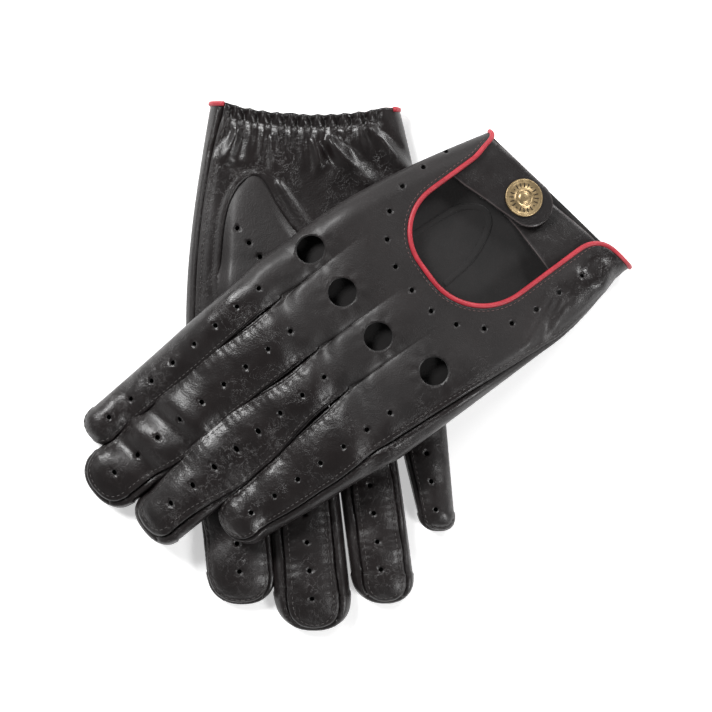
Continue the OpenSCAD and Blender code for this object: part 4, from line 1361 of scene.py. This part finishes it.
def build_cap(glove):
    """The snap's cap: a rolled rim, a ring of short bars and a plain boss."""
    r = CAP_D / 2
    base = -STRAP_DEPTH[glove.g] + 0.08
    rim = [(r - 0.35 + 0.35 * cos(a), 0.38 * CAP_H + 0.42 * sin(a))
           for a in np.radians(np.arange(-90, 136, 22.5))]
    profile = [(0.02 * r, 0.02), (r - 0.5, 0.02), *rim, *((a * r, b * CAP_H) for a, b in CAP_FACE)]
    bars = []
    for i in range(20):
        a = 2 * pi * i / 20
        out = np.array([cos(a), sin(a), 0])
        long = (1.9 if i % 5 else 0.6) / 2 * np.array([-1, -0.6, 0, 0.6, 1])
        path = (0.665 * r + long)[:, None] * out + [0, 0, base + 0.6 * CAP_H]
        bars.append(tube(path, np.array([0.16, 0.26, 0.28, 0.26, 0.16]), 8, 0.6))
    cap, marks = lathe([(a, b + base) for a, b in profile], 96), join(bars)
    piece(glove, "cap", *cap, [BRASS], "antique_brass", "snap_cap", "strap", turn=STRAP_TURN)
    piece(glove, "cap_marks", *marks, [TARNISH], "antique_brass", None, "strap", turn=STRAP_TURN)


# ---- stitches ----


def stitch_run(route, length=1.5, gap=0.8, radius=0.16):
    """Short stitches along a route of points, each half sunk in the leather."""
    parts = []
    for at in np.arange(0.5, route_length(route)[-1] - length, length + gap):
        path = on_route(route, at + length * np.array([0, 0.2, 0.5, 0.8, 1]))
        path[:, 2] += [-0.11, 0.07, 0.13, 0.07, -0.11]
        parts.append(tube(path, np.array([0.6, 1, 1, 1, 0.6]) * radius, 6))
    return parts


def surface_route(glove, p, q):
    """Points on the upper panel's finished leather along a line of the layout."""
    s = glove.lay(p, q, True)
    s.pos[:, 2] += relief(glove, s, glove.left, True) + sewn_edge(s, True)
    return s.pos


def build_stitches(glove):
    parts = []
    for k in range(4):
        lines = []
        for s in (-1, 1):
            outer = outer_side(k, s)
            p = np.arange(0 if outer else HAND_L + 4, HAND_L + glove.straight[k], 1.0)
            line, inset = side_line(glove, k, s, p, 1.7)
            if not outer or inset.max() >= SEAM_SEEN:
                lines.append(line)
        lines.append(tip_line(glove, k, np.radians(np.linspace(-85, 85, 40)), 1.7)[0])
        parts += [one for line in lines for one in stitch_run(surface_route(glove, *line.T))]
    if glove.left:
        line = keyhole_line(glove, 1.45, 1.0, CUFF_CORNER - 1.45, 1.5)
        red = join(stitch_run(surface_route(glove, *line), 1.2, 0.8, 0.11))
    else:
        row = shrink(thumb_outline(glove), -3.4)
        row = row[(row[:, 1] < -17) & (row[:, 0] < HOLE_END)]
        parts += stitch_run(surface_route(glove, *glove.find(*row.T)), 1.1, 0.9, 0.14)
    piece(glove, "seam_stitches", *join(parts), [THREAD], "elastic")
    if glove.left:
        piece(glove, "keyhole_stitches", *red, [RED_THREAD], "red_piping")


# ---- the scene ----


for glove in GLOVES:
    build_leather(glove)
    build_thumb(glove)
    build_piping(glove)
    inside_strip(glove, 2.4, 9.0, 0.6, "turned_edge", SUEDE, "suede", "palm_hem")
    inside_strip(glove, 11.0, 17.0, 0.5, "band", ELASTIC, "elastic", "wrist_elastic")
    build_strap(glove)
    build_tab(glove)
    build_cap(glove)
    build_stitches(glove)

thumb_seam(LEFT_GLOVE)
for name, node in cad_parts.items():
    if not node.hide_render:
        node.data.materials.clear()
        node.data.materials.append(BRASS)


def floor_material():
    """A pale board, lit a little from behind as in a studio."""
    s = Shader("floor")
    s.principled.inputs["Emission Color"].default_value = (1, 1, 1, 1)
    s.principled.inputs["Emission Strength"].default_value = 0.45
    tone = s.noise(40, 3.0)
    colour = s.ramp(tone, ((0.3, 0.93), (0.7, 0.95)))
    return s.finish(colour, s.ramp(tone, ((0.3, 0.75), (0.7, 0.85))), s.bump(tone, 0.02, 0.05))


bpy.ops.mesh.primitive_plane_add(size=6, location=(0, 0, 0))
floor = bpy.context.object
floor.name = "floor"
floor.data.materials.append(floor_material())


def area_light(name, place, aim, size, power):
    data = bpy.data.lights.new(name, "AREA")
    data.shape = "RECTANGLE"
    data.size, data.size_y = size
    data.energy = power
    obj = bpy.data.objects.new(name, data)
    obj.location = place
    obj.rotation_euler = (Vector(aim) - Vector(place)).to_track_quat("-Z", "Y").to_euler()
    bpy.context.scene.collection.objects.link(obj)


area_light("key", (-0.75, 0.7, 0.95), (0, 0, 0), (0.5, 0.35), 20)
area_light("fill", (0.9, -0.6, 0.9), (0, 0, 0), (0.35, 0.35), 10)
area_light("back", (0.75, 0.95, 0.6), (0, 0, 0), (0.4, 0.25), 8)
SKY_SIDE, SKY_TOP = 0.42, 0.08
world = bpy.data.worlds.new("world")
world.use_nodes = True
tree = world.node_tree
direction = tree.nodes.new("ShaderNodeTexCoord").outputs["Generated"]
height = tree.nodes.new("ShaderNodeSeparateXYZ")
fade = tree.nodes.new("ShaderNodeMapRange")
fade.inputs["From Min"].default_value, fade.inputs["From Max"].default_value = 0.15, 0.95
fade.inputs["To Min"].default_value, fade.inputs["To Max"].default_value = SKY_SIDE, SKY_TOP
tree.links.new(direction, height.inputs["Vector"])
tree.links.new(height.outputs["Z"], fade.inputs["Value"])
tree.links.new(fade.outputs["Result"], tree.nodes["Background"].inputs["Strength"])
tree.nodes["Background"].inputs["Color"].default_value = (1, 1, 1, 1)
bpy.context.scene.world = world
bpy.context.scene.view_settings.view_transform = "Standard"

camera = bpy.data.objects.new("camera", bpy.data.cameras.new("camera"))
camera.data.lens = 182
camera.data.sensor_width = 36
camera.data.clip_end = 20
camera.location = (-0.0001, 0.0035, 1.515)
bpy.context.scene.collection.objects.link(camera)
bpy.context.scene.camera = camera
